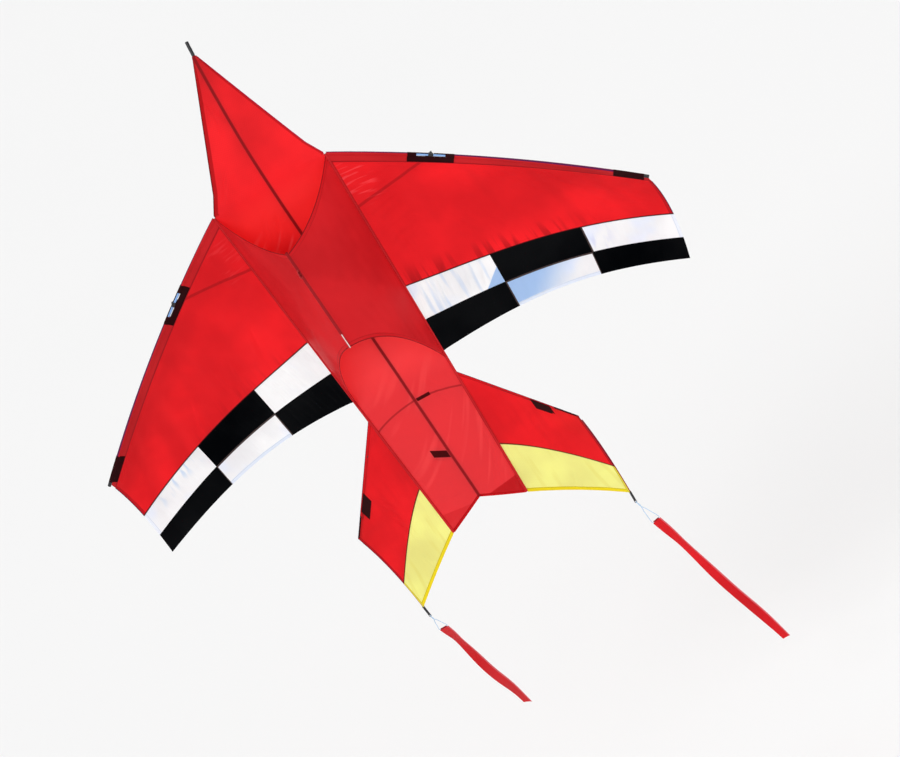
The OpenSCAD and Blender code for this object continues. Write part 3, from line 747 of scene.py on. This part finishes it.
def wing_material(name, seed, fan, gather_shade, edge_shade):
    """Wing cloth: soft painted bands of light and shade, painted highlights on the folds at the
    root as strong as fan, and painted shade in the gathers above the chequer and on a darker
    strip behind the leading edge, as strong as the last two arguments."""
    # painted highlights on the folds at the wing's root
    root = both(slanted(110, 12, 0.50, 0.68, seed, 0.4), border("a", 0.075, 0.02),
                border("b", 0.105, 0.03))
    # painted shade in the gathers above the chequer
    shaded_gathers = both(streaks(60, 5, 0.48, 0.62, seed), strip("c", 0.24, 1.0, 0.10))
    cloth_material(
        name, RED, shadows=[(spreader_shadow, 0.50)], glow=0.34,
        # painted bands of shade and of light, shade in the gathers, a shaded strip behind the
        # leading edge, highlights on the root folds
        marks=[(faded(streaks(9, 1.6, 0.5, 0.75, seed), 0.40), srgb(212, 24, 32)),
               (faded(streaks(9, 1.6, 0.5, 0.75, seed + 4), 0.4), srgb(246, 44, 50)),
               (faded(shaded_gathers, gather_shade, "d", 0.002, 0.060), srgb(180, 18, 26)),
               (faded(border("b", 0.05, 0.05), edge_shade), srgb(206, 26, 34)),
               (faded(root, fan), srgb(250, 84, 90))],
        seams=[("c", 0.010, srgb(204, 24, 34)), ("c", 0.0020, PURPLE), ("d", 0.0022, DARK_SEAM),
               ("a", 0.002, SLEEVE_RED)])


def front_material():
    """Nose and body: dark hems on the nose's edges, reinforced tail corners, painted shadows of
    the spine, the cross rod and its fittings behind the cloth, painted light inside the keel,
    under its arch and over the rear, and painted highlights in slanted streaks near the arch
    and at the rear."""
    on_nose = strip("z", shoulder_z, shoulder_z + 1, 0.003)
    # zones of painted light and painted highlights: inside the keel, near and under its arch, and
    # over the rear
    painted_light_in_keel = strip("z", shoulder_z - 0.15, shoulder_z - 0.03, 0.04)
    arch_highlight_zone = both(strip("z", shoulder_z - 0.19, shoulder_z - 0.10, 0.02),
                     strip("x", -0.12, 0.0, 0.02))
    painted_light_at_rear = strip("z", tail_z - 1, tail_z + 0.45, 0.05)
    painted_light_under_arch = strip("z", keel_root_z + 0.01, keel_root_z + 0.16, 0.05)
    cloth_material(
        "front_red", LIT_BODY_RED, glow=0.6,
        shadows=[(spine_shadow, 0.50), (hoop_shadow, 0.50), (tab_shadow, 0.14),
                 (connector_shadow, 0.14)],
        # painted light inside the keel, painted highlight streaks near the arch, painted light
        # over the rear and under the arch, painted highlight streaks at the rear
        marks=[(faded(painted_light_in_keel, 0.85), srgb(255, 74, 76)),
               (faded(both(arch_highlight_zone, slanted(50, 7, 0.5, 0.68, 2.0)), 0.5), srgb(255, 126, 128)),
               (faded(painted_light_at_rear, 0.8), srgb(238, 82, 88)),
               (faded(painted_light_under_arch, 0.9), srgb(255, 100, 104)),
               (faded(both(painted_light_at_rear, slanted(30, 3, 0.52, 0.72, 3.0)), 0.35), srgb(255, 112, 112)),
               (faded(corner("a", "d", 0.100, 0.055), 0.35), srgb(214, 26, 34)),
               (faded(corner("c", "d", 0.100, 0.055), 0.8), srgb(206, 24, 32)),
               (faded(both(on_nose, border("a", 0.013)), 0.75), SLEEVE_RED),
               (both(on_nose, border("a", 0.0030)), DARK_RED),
               (faded(both(on_nose, border("c", 0.007)), 0.6), SLEEVE_RED),
               (both(on_nose, border("c", 0.0018)), srgb(196, 50, 110))],
        hems=[("d", 0.008, srgb(214, 28, 36))])


def red_materials():
    wing_material("left_wing_red", 2.0, 0.25, 0.2, 0.40)
    wing_material("right_wing_red", 6.0, 0.7, 0.6, 0.05)
    front_material()
    cloth_material(
        "keel_red", KEEL_RED, glow=0.25, hems=[(edge, 0.012, KEEL_RED) for edge in "bd"],
        seams=[(edge, 0.0022, DARK_RED) for edge in "bd"],
        marks=[(faded(streaks(6, 3, 0.45, 0.75, 1.0), 0.4), srgb(202, 24, 32))])
    cloth_material("sleeve_red", SLEEVE_RED, glow=0.08, hems=[("c", 0.0036, srgb(180, 20, 28))],
                   seams=[("a", 0.0012, PURPLE)])
    cloth_material("tube_red", DARK_RED, glow=0.04, grid=0.0)
    cloth_material("side_tube_red", srgb(190, 26, 32), glow=0.04, grid=0.0)
    cloth_material(
        "tail_red", RED, glow=0.34,
        seams=[("d", 0.0026, srgb(112, 36, 24)), ("b", 0.0014, PURPLE), ("c", 0.0016, PURPLE)],
        marks=[(faded(streaks(22, 5, 0.5, 0.75, 5.0), 0.3), srgb(214, 24, 32)),
               # painted shade along the root beside the longeron
               (faded(border("a", 0.03, 0.03), 0.15), srgb(190, 22, 28))],
        hems=[("b", 0.013, srgb(222, 26, 34)), ("c", 0.009, srgb(208, 24, 34))])
    cloth_material(
        "yellow", YELLOW, glow=0.35, thread=srgb(120, 108, 36),
        seams=[("b", 0.0012, srgb(112, 60, 24))],
        marks=[(faded(streaks(45, 9, 0.5, 0.7, 8.0), 0.25), srgb(230, 218, 110))],
        hems=[("d", 0.011, YELLOW_HEM), ("c", 0.006, srgb(240, 226, 80))])


def chequer_materials():
    """White cloth for each place in the chequer, some with painted blue shade, black cloth, and
    the black patches.
    """
    def white(name, **looks):
        cloth_material(name, WHITE, grid=0.02, glow=0.35, tint=srgb(238, 243, 255), **looks)

    row_seam = ("b", 0.0012, BROWN)
    grey_thread = srgb(190, 200, 214)
    middle = dict(thread=grey_thread, hems=[("d", 0.009, srgb(234, 240, 250))],
                  seams=[("a", 0.0036, BROWN), ("b", 0.0042, BROWN), ("c", 0.0024, BROWN)])
    outer = dict(thread=grey_thread, hems=[("c", 0.009, srgb(242, 245, 252))])
    # painted blue shade: soft streaks along the white panels and on their wrinkles, and pale blue
    # corners
    blue_shade_streaks = streaks(70, 6, 0.5, 0.70, 1.0)
    wrinkle_blue_shade = streaks(60, 16, 0.52, 0.68, 3.0)
    white("left_white_inner", seams=[row_seam])
    white("right_white_inner", seams=[row_seam],
          marks=[(faded(blue_shade_streaks, 0.5), srgb(206, 222, 244)),
                 (corner("c", "d", 0.047, 0.046), PAINTED_BLUE_SHADE)])
    white("left_white_middle", **middle)
    white("right_white_middle", marks=[(corner("a", "b", 0.150, 0.170, 0.45), PAINTED_BLUE_SHADE)],
          **middle)
    white("left_white_outer", seams=[row_seam],
          marks=[(faded(wrinkle_blue_shade, 0.6, "b", 0.004, 0.045), PAINTED_BLUE_SHADE)], **outer)
    white("right_white_outer", seams=[("a", 0.0040, BROWN), row_seam],
          marks=[(faded(wrinkle_blue_shade, 0.6, "a", 0.02, 0.09), srgb(220, 224, 244))], **outer)
    cloth_material("black_cloth", BLACK, glow=0.03, grid=0.0, sheen=0.0, rough=0.42, gloss=0.01)
    cloth_material("patch_black", PATCH, glow=0.03, sheen=0.0, rough=0.8, gloss=0.04,
                   hems=[("c", 0.003, srgb(38, 8, 12))])


def keel_rod_material():
    """Dark red glass fibre with a painted highlight: a pale line down its front, broken up by
    noise.
    """
    n = Nodes("red_glass_fibre_painted_highlight")
    place, xyz = n.place()
    # painted highlight: a pale line down the rod's front, broken up by noise
    gloss_wear_and_painted_highlight = n.times(n.close(xyz[0], 0, 0.0015, 0.0007),
                   n.smooth(n.noise(place, 300.0), 0.30, 0.42))
    n.surface(n.add("BsdfPrincipled", {
        "Base Color": n.blend(gloss_wear_and_painted_highlight, DARK_RED, srgb(244, 214, 210)), "Roughness": 0.35,
        "Specular IOR Level": 0.3}))


def solid_materials():
    rod = dict(rough=0.3, scale=40, grain=(1, 1, 6), coat=0.2)
    metal = dict(metallic=1.0, scale=120, vary=0.06)
    woven = dict(scale=900, bump=0.7)
    keel_rod_material()
    solid_material("dark_glass_fibre", srgb(24, 24, 28), **rod)
    solid_material("pale_blue_glass_fibre", srgb(128, 172, 228), **rod)
    solid_material("black_vinyl", srgb(14, 16, 22), rough=0.38, scale=90)
    solid_material("bright_metal", srgb(205, 208, 212), rough=0.25, **metal)
    solid_material("pale_blue_cord", srgb(168, 200, 232), rough=0.6, scale=700, vary=0.10,
                   bump=0.5)
    solid_material("dark_webbing", srgb(42, 8, 11), rough=0.85, gloss=0.08, **woven)
    solid_material("red_webbing", srgb(170, 24, 30), rough=0.75, **woven)
    solid_material("dark_red_metal", srgb(150, 52, 54), rough=0.35, **metal)
    cloth_material("ribbon_hem", srgb(150, 22, 34), glow=0.1, grid=0.0)
    cloth_material("ribbon", srgb(226, 28, 38), glow=0.3, grid=0.0, rough=0.4, gloss=0.15,
                   hems=[("a", 0.0035, srgb(238, 120, 128))])


red_materials()
chequer_materials()
solid_materials()


def dress(obj, body, material, slot, *nodes):
    """Gives a piece its material, hangs it on the empty of the body it rides on, and hides the
    CAD nodes it stands for.
    """
    obj.data.materials.clear()
    obj.data.materials.append(mats[material])
    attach(obj, body)
    if nodes:
        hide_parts(*nodes)
    return obj


def span(a, b, n):
    return np.linspace(a, b, n + 1)


# --- Streamers: cord loops first, then the ribbons
tip_dir = unit(tail_tip - outer_edge(0.9))
loop_eye = tail_tip + tip_dir * 0.030 + np.array([0, 0.003, 0])
loop_len = 0.074
cord_r = 0.0008
streamer_len = 0.480
streamer_w = 0.025
hem_half = 0.0084
hem_r, hem_bore = 0.0019, 0.0013
hang = {"right": unit(np.array([0.225, 0.06, -0.973])),
        "left": unit(np.array([0.01, 0.53, -0.848]))}
# route of half a loop in millimetres: across, towards the ribbon's face, down from the eye
half_loop = [
    (0, 0.1, 0), (0, 1.2, 0.2), (0, 2.3, 0.9), (0, 3, 2), (0, 3.3, 3), (0.5, 3, 5.6),
    (1.1, 2, 8.4), (1.5, 0.5, 11.2), (1, -0.6, 14), (0.2, -1, 17), (-0.6, -0.9, 20),
    (-1.5, -0.5, 23.5), (-2.7, -0.1, 28), (-4.6, 0, 34), (-6.6, 0, 44), (-8.7, 0, 54),
    (-10.5, 0, 63), (-11.9, 0, 70.1), (-11.8, 0, 71.5), (-11.2, 0, 72.8), (-10, 0, 73.7),
    (-8.6, 0, 74), (-4, 0, 74), (0, 0, 74)]


def ribbon_frame(side):
    """The eye of a streamer's cap, and the directions down, across and out of its face."""
    sign = -1 if side == "left" else 1
    d = hang[side]
    across = unit(np.cross(np.array([0, 1.0, 0]), d))
    return loop_eye * np.array([sign, 1, 1]), d, across, np.cross(d, across)


def catmull(ctrl, n):
    """A smooth line through the control points."""
    c = np.vstack([2 * ctrl[0] - ctrl[1], ctrl, 2 * ctrl[-1] - ctrl[-2]])
    out = []
    for i in range(1, len(c) - 2):
        for t in np.linspace(0, 1, n, endpoint=False):
            a, b, d, e = c[i - 1], c[i], c[i + 1], c[i + 2]
            out.append(0.5 * (2 * b + (d - a) * t + (2 * a - 5 * b + 4 * d - e) * t * t
                              + (3 * b - a - 3 * d + e) * t ** 3))
    out.append(c[-2])
    return np.array(out)


def loop_cord(side):
    eye, d, across, face = ribbon_frame(side)
    half = np.array(half_loop) / 1000
    route = np.vstack([half, half[-2::-1] * np.array([-1, -1, 1])])
    path = catmull(eye + route @ np.array([across, face, d]), 4)
    curve = bpy.data.curves.new(side + "_loop_cord", "CURVE")
    curve.dimensions = "3D"
    curve.bevel_depth = cord_r
    curve.bevel_resolution = 3
    spline = curve.splines.new("POLY")
    spline.points.add(len(path) - 1)
    for point, p in zip(spline.points, path):
        point.co = (*p, 1)
    obj = add_object(side + "_loop_cord", curve)
    obj.data.materials.append(mats["pale_blue_cord"])
    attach(obj, side + "_loop")
    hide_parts(side + "_streamer_loop")


for side in ("left", "right"):
    loop_cord(side)


def ribbon(side):
    eye, d, across, face = ribbon_frame(side)
    foot = eye + d * loop_len
    top = foot + d * (hem_r + 0.00015)
    k = span(0, 1, 120)
    s = span(-0.5, 0.5, 8)
    late = 0.4 if side == "left" else 0.0
    turn = np.radians(26) * np.sin(2.4 * math.pi * k + late) * ease(np.clip(k / 0.2, 0, 1))
    wave = 0.0055 * np.sin(np.radians(520) * k)
    centre = top + d * (streamer_len * k)[:, None] + face * wave[:, None]
    wide = across * np.cos(turn)[:, None] + face * np.sin(turn)[:, None]
    grid = centre[None] + wide[None] * (s * streamer_w)[:, None, None]
    cup = 0.0012 * (1 - (2 * s) ** 2)[:, None] * ease(np.clip(k / 0.05, 0, 1))
    obj = cloth_shell(side + "_ribbon_cloth", grid + face * cup[:, :, None], t=0.0004)
    dress(obj, side + "_ribbon", "ribbon", "ribbon", side + "_streamer")
    ends = foot + across * hem_half * np.array([[-1], [-0.5], [0.5], [1]])
    hem = dress(pipe(side + "_ribbon_hem", ends, hem_r, hem_bore),
                side + "_ribbon", "ribbon_hem", "ribbon")


for side in ("left", "right"):
    ribbon(side)


# --- Wings
columns = [(sleeve_r - 0.0006) / wing_reach, 0.32, 0.66, 1.0]


def wing_grid(u0, u1, v0, v1, nu, nv):
    u = span(u0, u1, nu)[:, None]
    k = span(0, 1, nv)[None, :]
    return wing(u, mix(v0(u), v1(u), k))


def sleeve_v(u):
    return v_at(u, sleeve_w - 0.001)


def wing_relief(left):
    seed = 11 if left else 5
    r = np.random.default_rng(seed)
    creases = []
    if not left:
        # folds that fan out from the wing's root
        for i in range(7):
            y = 0.03 + 0.028 * i
            creases.append((0.0, y + 0.06, 0.10 + 0.05 * r.random(), y - 0.02, 0.005, 0.0016))
    for i in range(10):
        x = r.uniform(0.05, 0.55)
        y0 = r.uniform(0.1, 0.3)
        creases.append((x, y0, x + r.uniform(-0.03, 0.05), y0 + r.uniform(0.08, 0.2),
                        r.uniform(0.008, 0.016), r.uniform(-0.0018, 0.0022)))
    return relief_of(creases, (seed, 0.16, 0.0016, (1, 1.8)), (seed + 1, 0.05, 0.0004))


def panel_relief(seed, strength):
    r = np.random.default_rng(seed)
    creases = []
    for i in range(9):
        x = 0.008 + 0.021 * i + r.uniform(-0.004, 0.004)
        creases.append((x, 0.09, x + 0.5 * r.uniform(0.02, 0.06), 0.0, r.uniform(0.003, 0.006),
                        strength * r.uniform(0.5, 1.2)))
    return relief_of(creases, (seed, 0.06, 0.0006))


# chequered panels from the root outwards: the front row, then the row at the trailing edge
panels = ["white_inner", "black_middle", "white_outer",
          "black_inner", "white_middle", "black_outer"]


def wing_pieces(side):
    """The wing's red cloth, its leading edge, and the chequered panels behind the cloth."""
    left = side == "left"
    body_name = side + "_wing"
    p = wing_grid(columns[0], 1, sleeve_v, band_v, 150, 80)
    cloth = dress(cloth_shell(side + "_wing_cloth", p, left, relief=wing_relief(left)),
                  body_name, side + "_wing_red", "red_cloth", side + "_wing_sail")
    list(leading_edge(side))
    for i, name in enumerate(panels):
        row, col = divmod(i, 3)
        v0, v1 = (row_v, np.ones_like) if row else (band_v, row_v)
        p = wing_grid(columns[col], columns[col + 1], v0, v1, 60, 28)
        relief = panel_relief(20 + 6 * left + i, 0.0009 if i else 0.0020)
        node = side + "_" + name
        looks = (node, "white_cloth") if name.startswith("white") else ("black_cloth",) * 2
        panel = dress(cloth_shell(node + "_cloth", p, left, relief=relief, calm=0.006),
                      body_name, *looks, node)


def le_frame(u, d, square=1.0):
    """Points of the leading edge at u, with the directions back along the cloth towards the
    distance d behind it, and square to the cloth."""
    o = le(u)
    back = unit(beside_le(u, d, square) - o)
    n = unit(np.cross(back, unit(le(u + 0.001) - le(u - 0.001))))
    return o, back, n * np.sign(n[:, 1:2])


def sleeve_sections(u, r, near, far, thick, square):
    """Sections of a leading edge sleeve at u: round the spar with radius r, and flat behind
    it to the distance far. With near above 0 the front is cut away to that distance.
    Also gives each section point's distance behind the sleeve's front."""
    square = np.broadcast_to(square, u.shape)
    o, back, n = le_frame(u, far, square)
    rows, depth = [], []
    if near <= 0:
        for a in np.linspace(-0.62 * math.pi, 0.62 * math.pi, 14):
            rows.append(o - back * (r * math.cos(a)) + n * (r * math.sin(a)))
            depth.append(r - r * math.cos(a))
    flat = span(near or r + 0.002, far, 5)
    for d, half in [(d, thick / 2) for d in flat] + [(d, -thick / 2) for d in flat[::-1]]:
        rows.append(beside_le(u, d, square) + n * half)
        depth.append(d + r)
    return np.stack(rows, axis=1), np.array(depth)


# depth behind the spar, thickness, whether cut square to the edge, material and slot
SLEEVE = (sleeve_w, 0.0012, False, "sleeve_red", "red_double_cloth")
PATCHING = (patch_w, 0.0026, True, "patch_black", "webbing")


def sleeve_piece(name, side, kind, u0, u1, r, near, *nodes):
    """A stretch of a leading edge sleeve, or of a black patch on it, from u0 to u1."""
    far, thick, square, material, slot = kind
    u = span(u0, u1, max(4, int((u1 - u0) * le_len / 0.006)))
    ends = np.clip(np.minimum(u, 1 - u) / 0.08, 0, 1)
    rings, depth = sleeve_sections(u, r, near, far, thick, 1.0 if square else ends)
    obj = loft(side + name, rings, side == "left")
    at = loop_points(obj)
    along = (u * le_len)[at // len(depth)] + 0.1
    deep = depth[at % len(depth)]
    set_uv(obj, "near", deep, along)
    set_uv(obj, "far", far + r - deep, along)
    return dress(obj, side + "_wing", material, slot, *(side + node for node in nodes))


def slot_edge(name, side, u0, u1):
    """The patch where it is folded round the front of the spar, outside one of its slots."""
    o, back, n = le_frame(span(u0, u1, 8), 0.01)
    arc = np.linspace(-0.14 * math.pi, 0.7 * math.pi, 14)
    turns = [(r, a) for r, way in ((rod_r + 0.0015, 1), (rod_r + 0.0006, -1)) for a in arc[::way]]
    rings = np.stack([o + (n * math.sin(a) - back * math.cos(a)) * r for r, a in turns], axis=1)
    obj = loft(side + name, rings, side == "left")
    uv_by_place(obj)
    return dress(obj, side + "_wing", "patch_black", "webbing")


def leading_edge(side):
    """The sleeve of the spar with its opening, and the black patches on it."""
    gap = window_len / 2 / le_len
    half = patch_len / 2 / le_len
    clip = fitting_half / le_len
    tip = 1 - tip_patch_len / le_len
    r, over = rod_r + 0.0010, rod_r + 0.0016
    u0, u1 = fitting_u - gap, fitting_u + gap
    edges = [slot_edge("_slot_edge_root", side, u0, fitting_u - clip),
             slot_edge("_slot_edge_outer", side, fitting_u + clip, u1)]
    return edges + [sleeve_piece(name, side, *rest) for name, *rest in [
        ("_sleeve_root", SLEEVE, 0.0050, u0, r, 0, "_leading_sleeve"),
        ("_sleeve_window", SLEEVE, u0, u1, r, window_near - 0.001),
        ("_sleeve_tip", SLEEVE, u1, 0.990, r, 0),
        ("_sleeve_corner", SLEEVE, 0.990, 0.9985, r, 0.0062),
        ("_patch_root", PATCHING, fitting_u - half, u0, over, 0, "_window_patch"),
        ("_patch_strip", PATCHING, u0, u1, r, window_near - 0.0016),
        ("_patch_outer", PATCHING, u1, fitting_u + half, over, 0),
        ("_tip_reinforcement", PATCHING, tip, 0.991, over, 0, "_tip_patch")]]


for side in ("left", "right"):
    wing_pieces(side)


# --- Body, nose and keel
shoulder_t = 0.26                        # share of the front cloth that is the nose
# folds of the front cloth, measured from its left edge and from the nose down
front_creases = [
    (0.0, 0.10, 0.10, 0.22, 0.006, 0.0016), (0.02, 0.12, 0.05, 0.21, 0.005, 0.0014),
    (0.04, 0.28, 0.03, 0.36, 0.004, 0.0016), (0.10, 0.42, 0.06, 0.50, 0.006, 0.0016),
    (0.13, 0.43, 0.09, 0.51, 0.006, 0.0016), (0.24, 1.17, 0.20, 1.31, 0.006, 0.0014),
    (0.26, 1.09, 0.235, 1.23, 0.005, 0.0012), (0.22, 1.25, 0.17, 1.34, 0.006, 0.0014),
    (0.18, 0.99, 0.20, 1.09, 0.006, 0.0012), (0.05, 1.30, 0.15, 1.28, 0.005, 0.0012)]


def front(s, t):
    """Nose and body, which are one cloth: t from 0 at the nose to 1 at the tail."""
    s, t = np.broadcast_arrays(s, t)
    up = 1 - np.minimum(t, shoulder_t) / shoulder_t
    down = np.maximum(t - shoulder_t, 0) / (1 - shoulder_t)
    return np.where((t < shoulder_t)[..., None], nose(s, up), body(s, down))


def front_piece():
    s = span(0, 1, 88)[:, None]
    t = np.concatenate([span(0, shoulder_t, 80), span(shoulder_t, 1, 200)[1:]])[None, :]
    p = front(s, t)
    relief = relief_of(front_creases, (41, 0.12, 0.0009, (1, 1.6)))
    dress(cloth_shell("front_cloth", p, relief=relief), "frame", "front_red",
                    "red_cloth", "nose_sail", "body_sail")


def keel_piece(side, seed):
    p = keel(span(0, 1, 60)[:, None], span(0, 1, 110)[None, :])
    relief = relief_of((), (seed, 0.14, 0.0014, (1, 1.6)), (seed + 1, 0.05, 0.0003))
    dress(cloth_shell(side + "_keel_cloth", p, side == "left", relief=relief),
                    "frame", "keel_red", "red_double_cloth", side + "_keel_panel")


front_piece()
keel_piece("left", 51)
keel_piece("right", 57)


# --- Tail
def tail_relief(seed):
    r = np.random.default_rng(seed)
    creases = [(0.17, 0.05 + 0.04 * i, 0.12 + 0.01 * i, 0.16 + 0.03 * i, 0.005,
                0.0016 * r.uniform(0.5, 1.3)) for i in range(4)]
    return relief_of(creases, (seed, 0.09, 0.0009))


tail_s0 = 0.0018 / (tail_corner[0] - shoulder_half)


def seam_t(s):
    return tail_seam_t - tail_seam_bow * hump(s)


def leg_path():
    """Axis of the sleeve that lies behind the tail's leading edge."""
    s = span(0.3, 0.985, 24)
    t = 0.0105 / np.linalg.norm(tail(s, 1) - tail(s, 0), axis=-1)
    out = unit(np.cross(tail(s + 0.01, t) - tail(s - 0.01, t),
                        tail(s, t + 0.01) - tail(s, t - 0.01)))
    return tail(s, t) + out * 0.00295


def tail_pieces(side):
    """A tail wing: its red cloth with the sleeve behind it, and its yellow trailing panel."""
    left = side == "left"
    s = span(tail_s0, 1, 60)[:, None]
    red = tail(s, seam_t(s) * span(0, 1, 60)[None, :])
    cloth = dress(cloth_shell(side + "_tail_cloth", red, left, relief=tail_relief(61 + left)),
                  "frame", "tail_red", "red_cloth", side + "_tail_sail")
    sleeve = dress(pipe(side + "_tail_sleeve", leg_path(), 0.0027, 0.0019, left),
                   "frame", "tube_red", "red_double_cloth")
    rear = tail(s, mix(seam_t(s), 1.0, span(0, 1, 44)[None, :]))
    cloth = dress(cloth_shell(side + "_yellow_cloth", rear, left, relief=tail_relief(71 + left),
                              calm=0.006),
                  "frame", "yellow", "yellow_cloth", side + "_tail_yellow")


for side in ("left", "right"):
    tail_pieces(side)


# --- CAD nodes that keep their shape
finish_of = {
    "red_glass_fibre_painted_highlight": ["keel_spar"],
    "dark_glass_fibre": ["spine_upper", "spine_lower", "left_longeron", "right_longeron",
                         "main_spreader", "left_hoop_rod", "right_hoop_rod"],
    "pale_blue_glass_fibre": ["left_leading_spar", "right_leading_spar"],
    "black_vinyl": ["nose_cap", "left_spreader_fitting", "right_spreader_fitting",
                    "hoop_connector", "tail_tip_caps", "left_spar_cap", "right_spar_cap"],
    "bright_metal": ["spine_ferrule"],
    "dark_red_metal": ["tow_eyelet"],
    "red_webbing": ["tow_tab"],
    "dark_webbing": ["spine_tab", "tail_patches"],
    "tube_red": ["left_tail_edge_rod", "right_tail_edge_rod", "keel_sleeve", "spine_sleeve"],
    "side_tube_red": ["left_longeron_sleeve", "right_longeron_sleeve"],
}
for finish, nodes in finish_of.items():
    for node in nodes:
        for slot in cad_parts[node].material_slots:
            slot.link = "OBJECT"
            slot.material = mats[finish]


# --- Floor and light
def add_floor():
    n = Nodes("pale_floor")
    place, _ = n.place()
    colour = n.blend(n.noise(place, 0.6), (0.80, 0.80, 0.80), (0.81, 0.81, 0.81))
    low = cad_low[2] - 0.25
    half = 60
    corners = [(-half, -half, low), (half, -half, low), (half, half, low), (-half, half, low)]
    floor = new_object("floor", corners, [(0, 1, 2, 3)], smooth=False)
    n.surface(n.add("BsdfPrincipled", {
        "Base Color": colour, "Roughness": 0.9, "Specular IOR Level": 0.1}))
    floor.data.materials.append(mats["pale_floor"])


kite_middle = np.array((0, 0.3, -0.4))


def add_lamp(name, kind, place, power, **settings):
    """A lamp that points at the kite's middle."""
    data = bpy.data.lights.new(name, kind)
    data.energy = power
    for key, value in settings.items():
        setattr(data, key, value)
    obj = add_object(name, data)
    obj.location = place
    obj.rotation_mode = "QUATERNION"
    obj.rotation_quaternion = Vector(np.array(place) - kite_middle).to_track_quat("Z", "Y")


def add_light():
    world = bpy.data.worlds.new("studio")
    bpy.context.scene.world = world
    world.use_nodes = True
    bg = world.node_tree.nodes["Background"]
    bg.inputs[0].default_value = (1.0, 1.0, 1.0, 1.0)
    bg.inputs[1].default_value = 0.74
    add_lamp("key", "SUN", (-3.5, -6.0, 5.5), 1.0, angle=math.radians(35))
    add_lamp("behind", "SUN", (1.5, 5.5, 4.5), 0.95, angle=math.radians(50))
    add_lamp("fill", "AREA", (5.0, -4.0, 1.0), 60, size=3.0)
    bpy.context.scene.view_settings.view_transform = "Standard"


add_floor()
add_light()
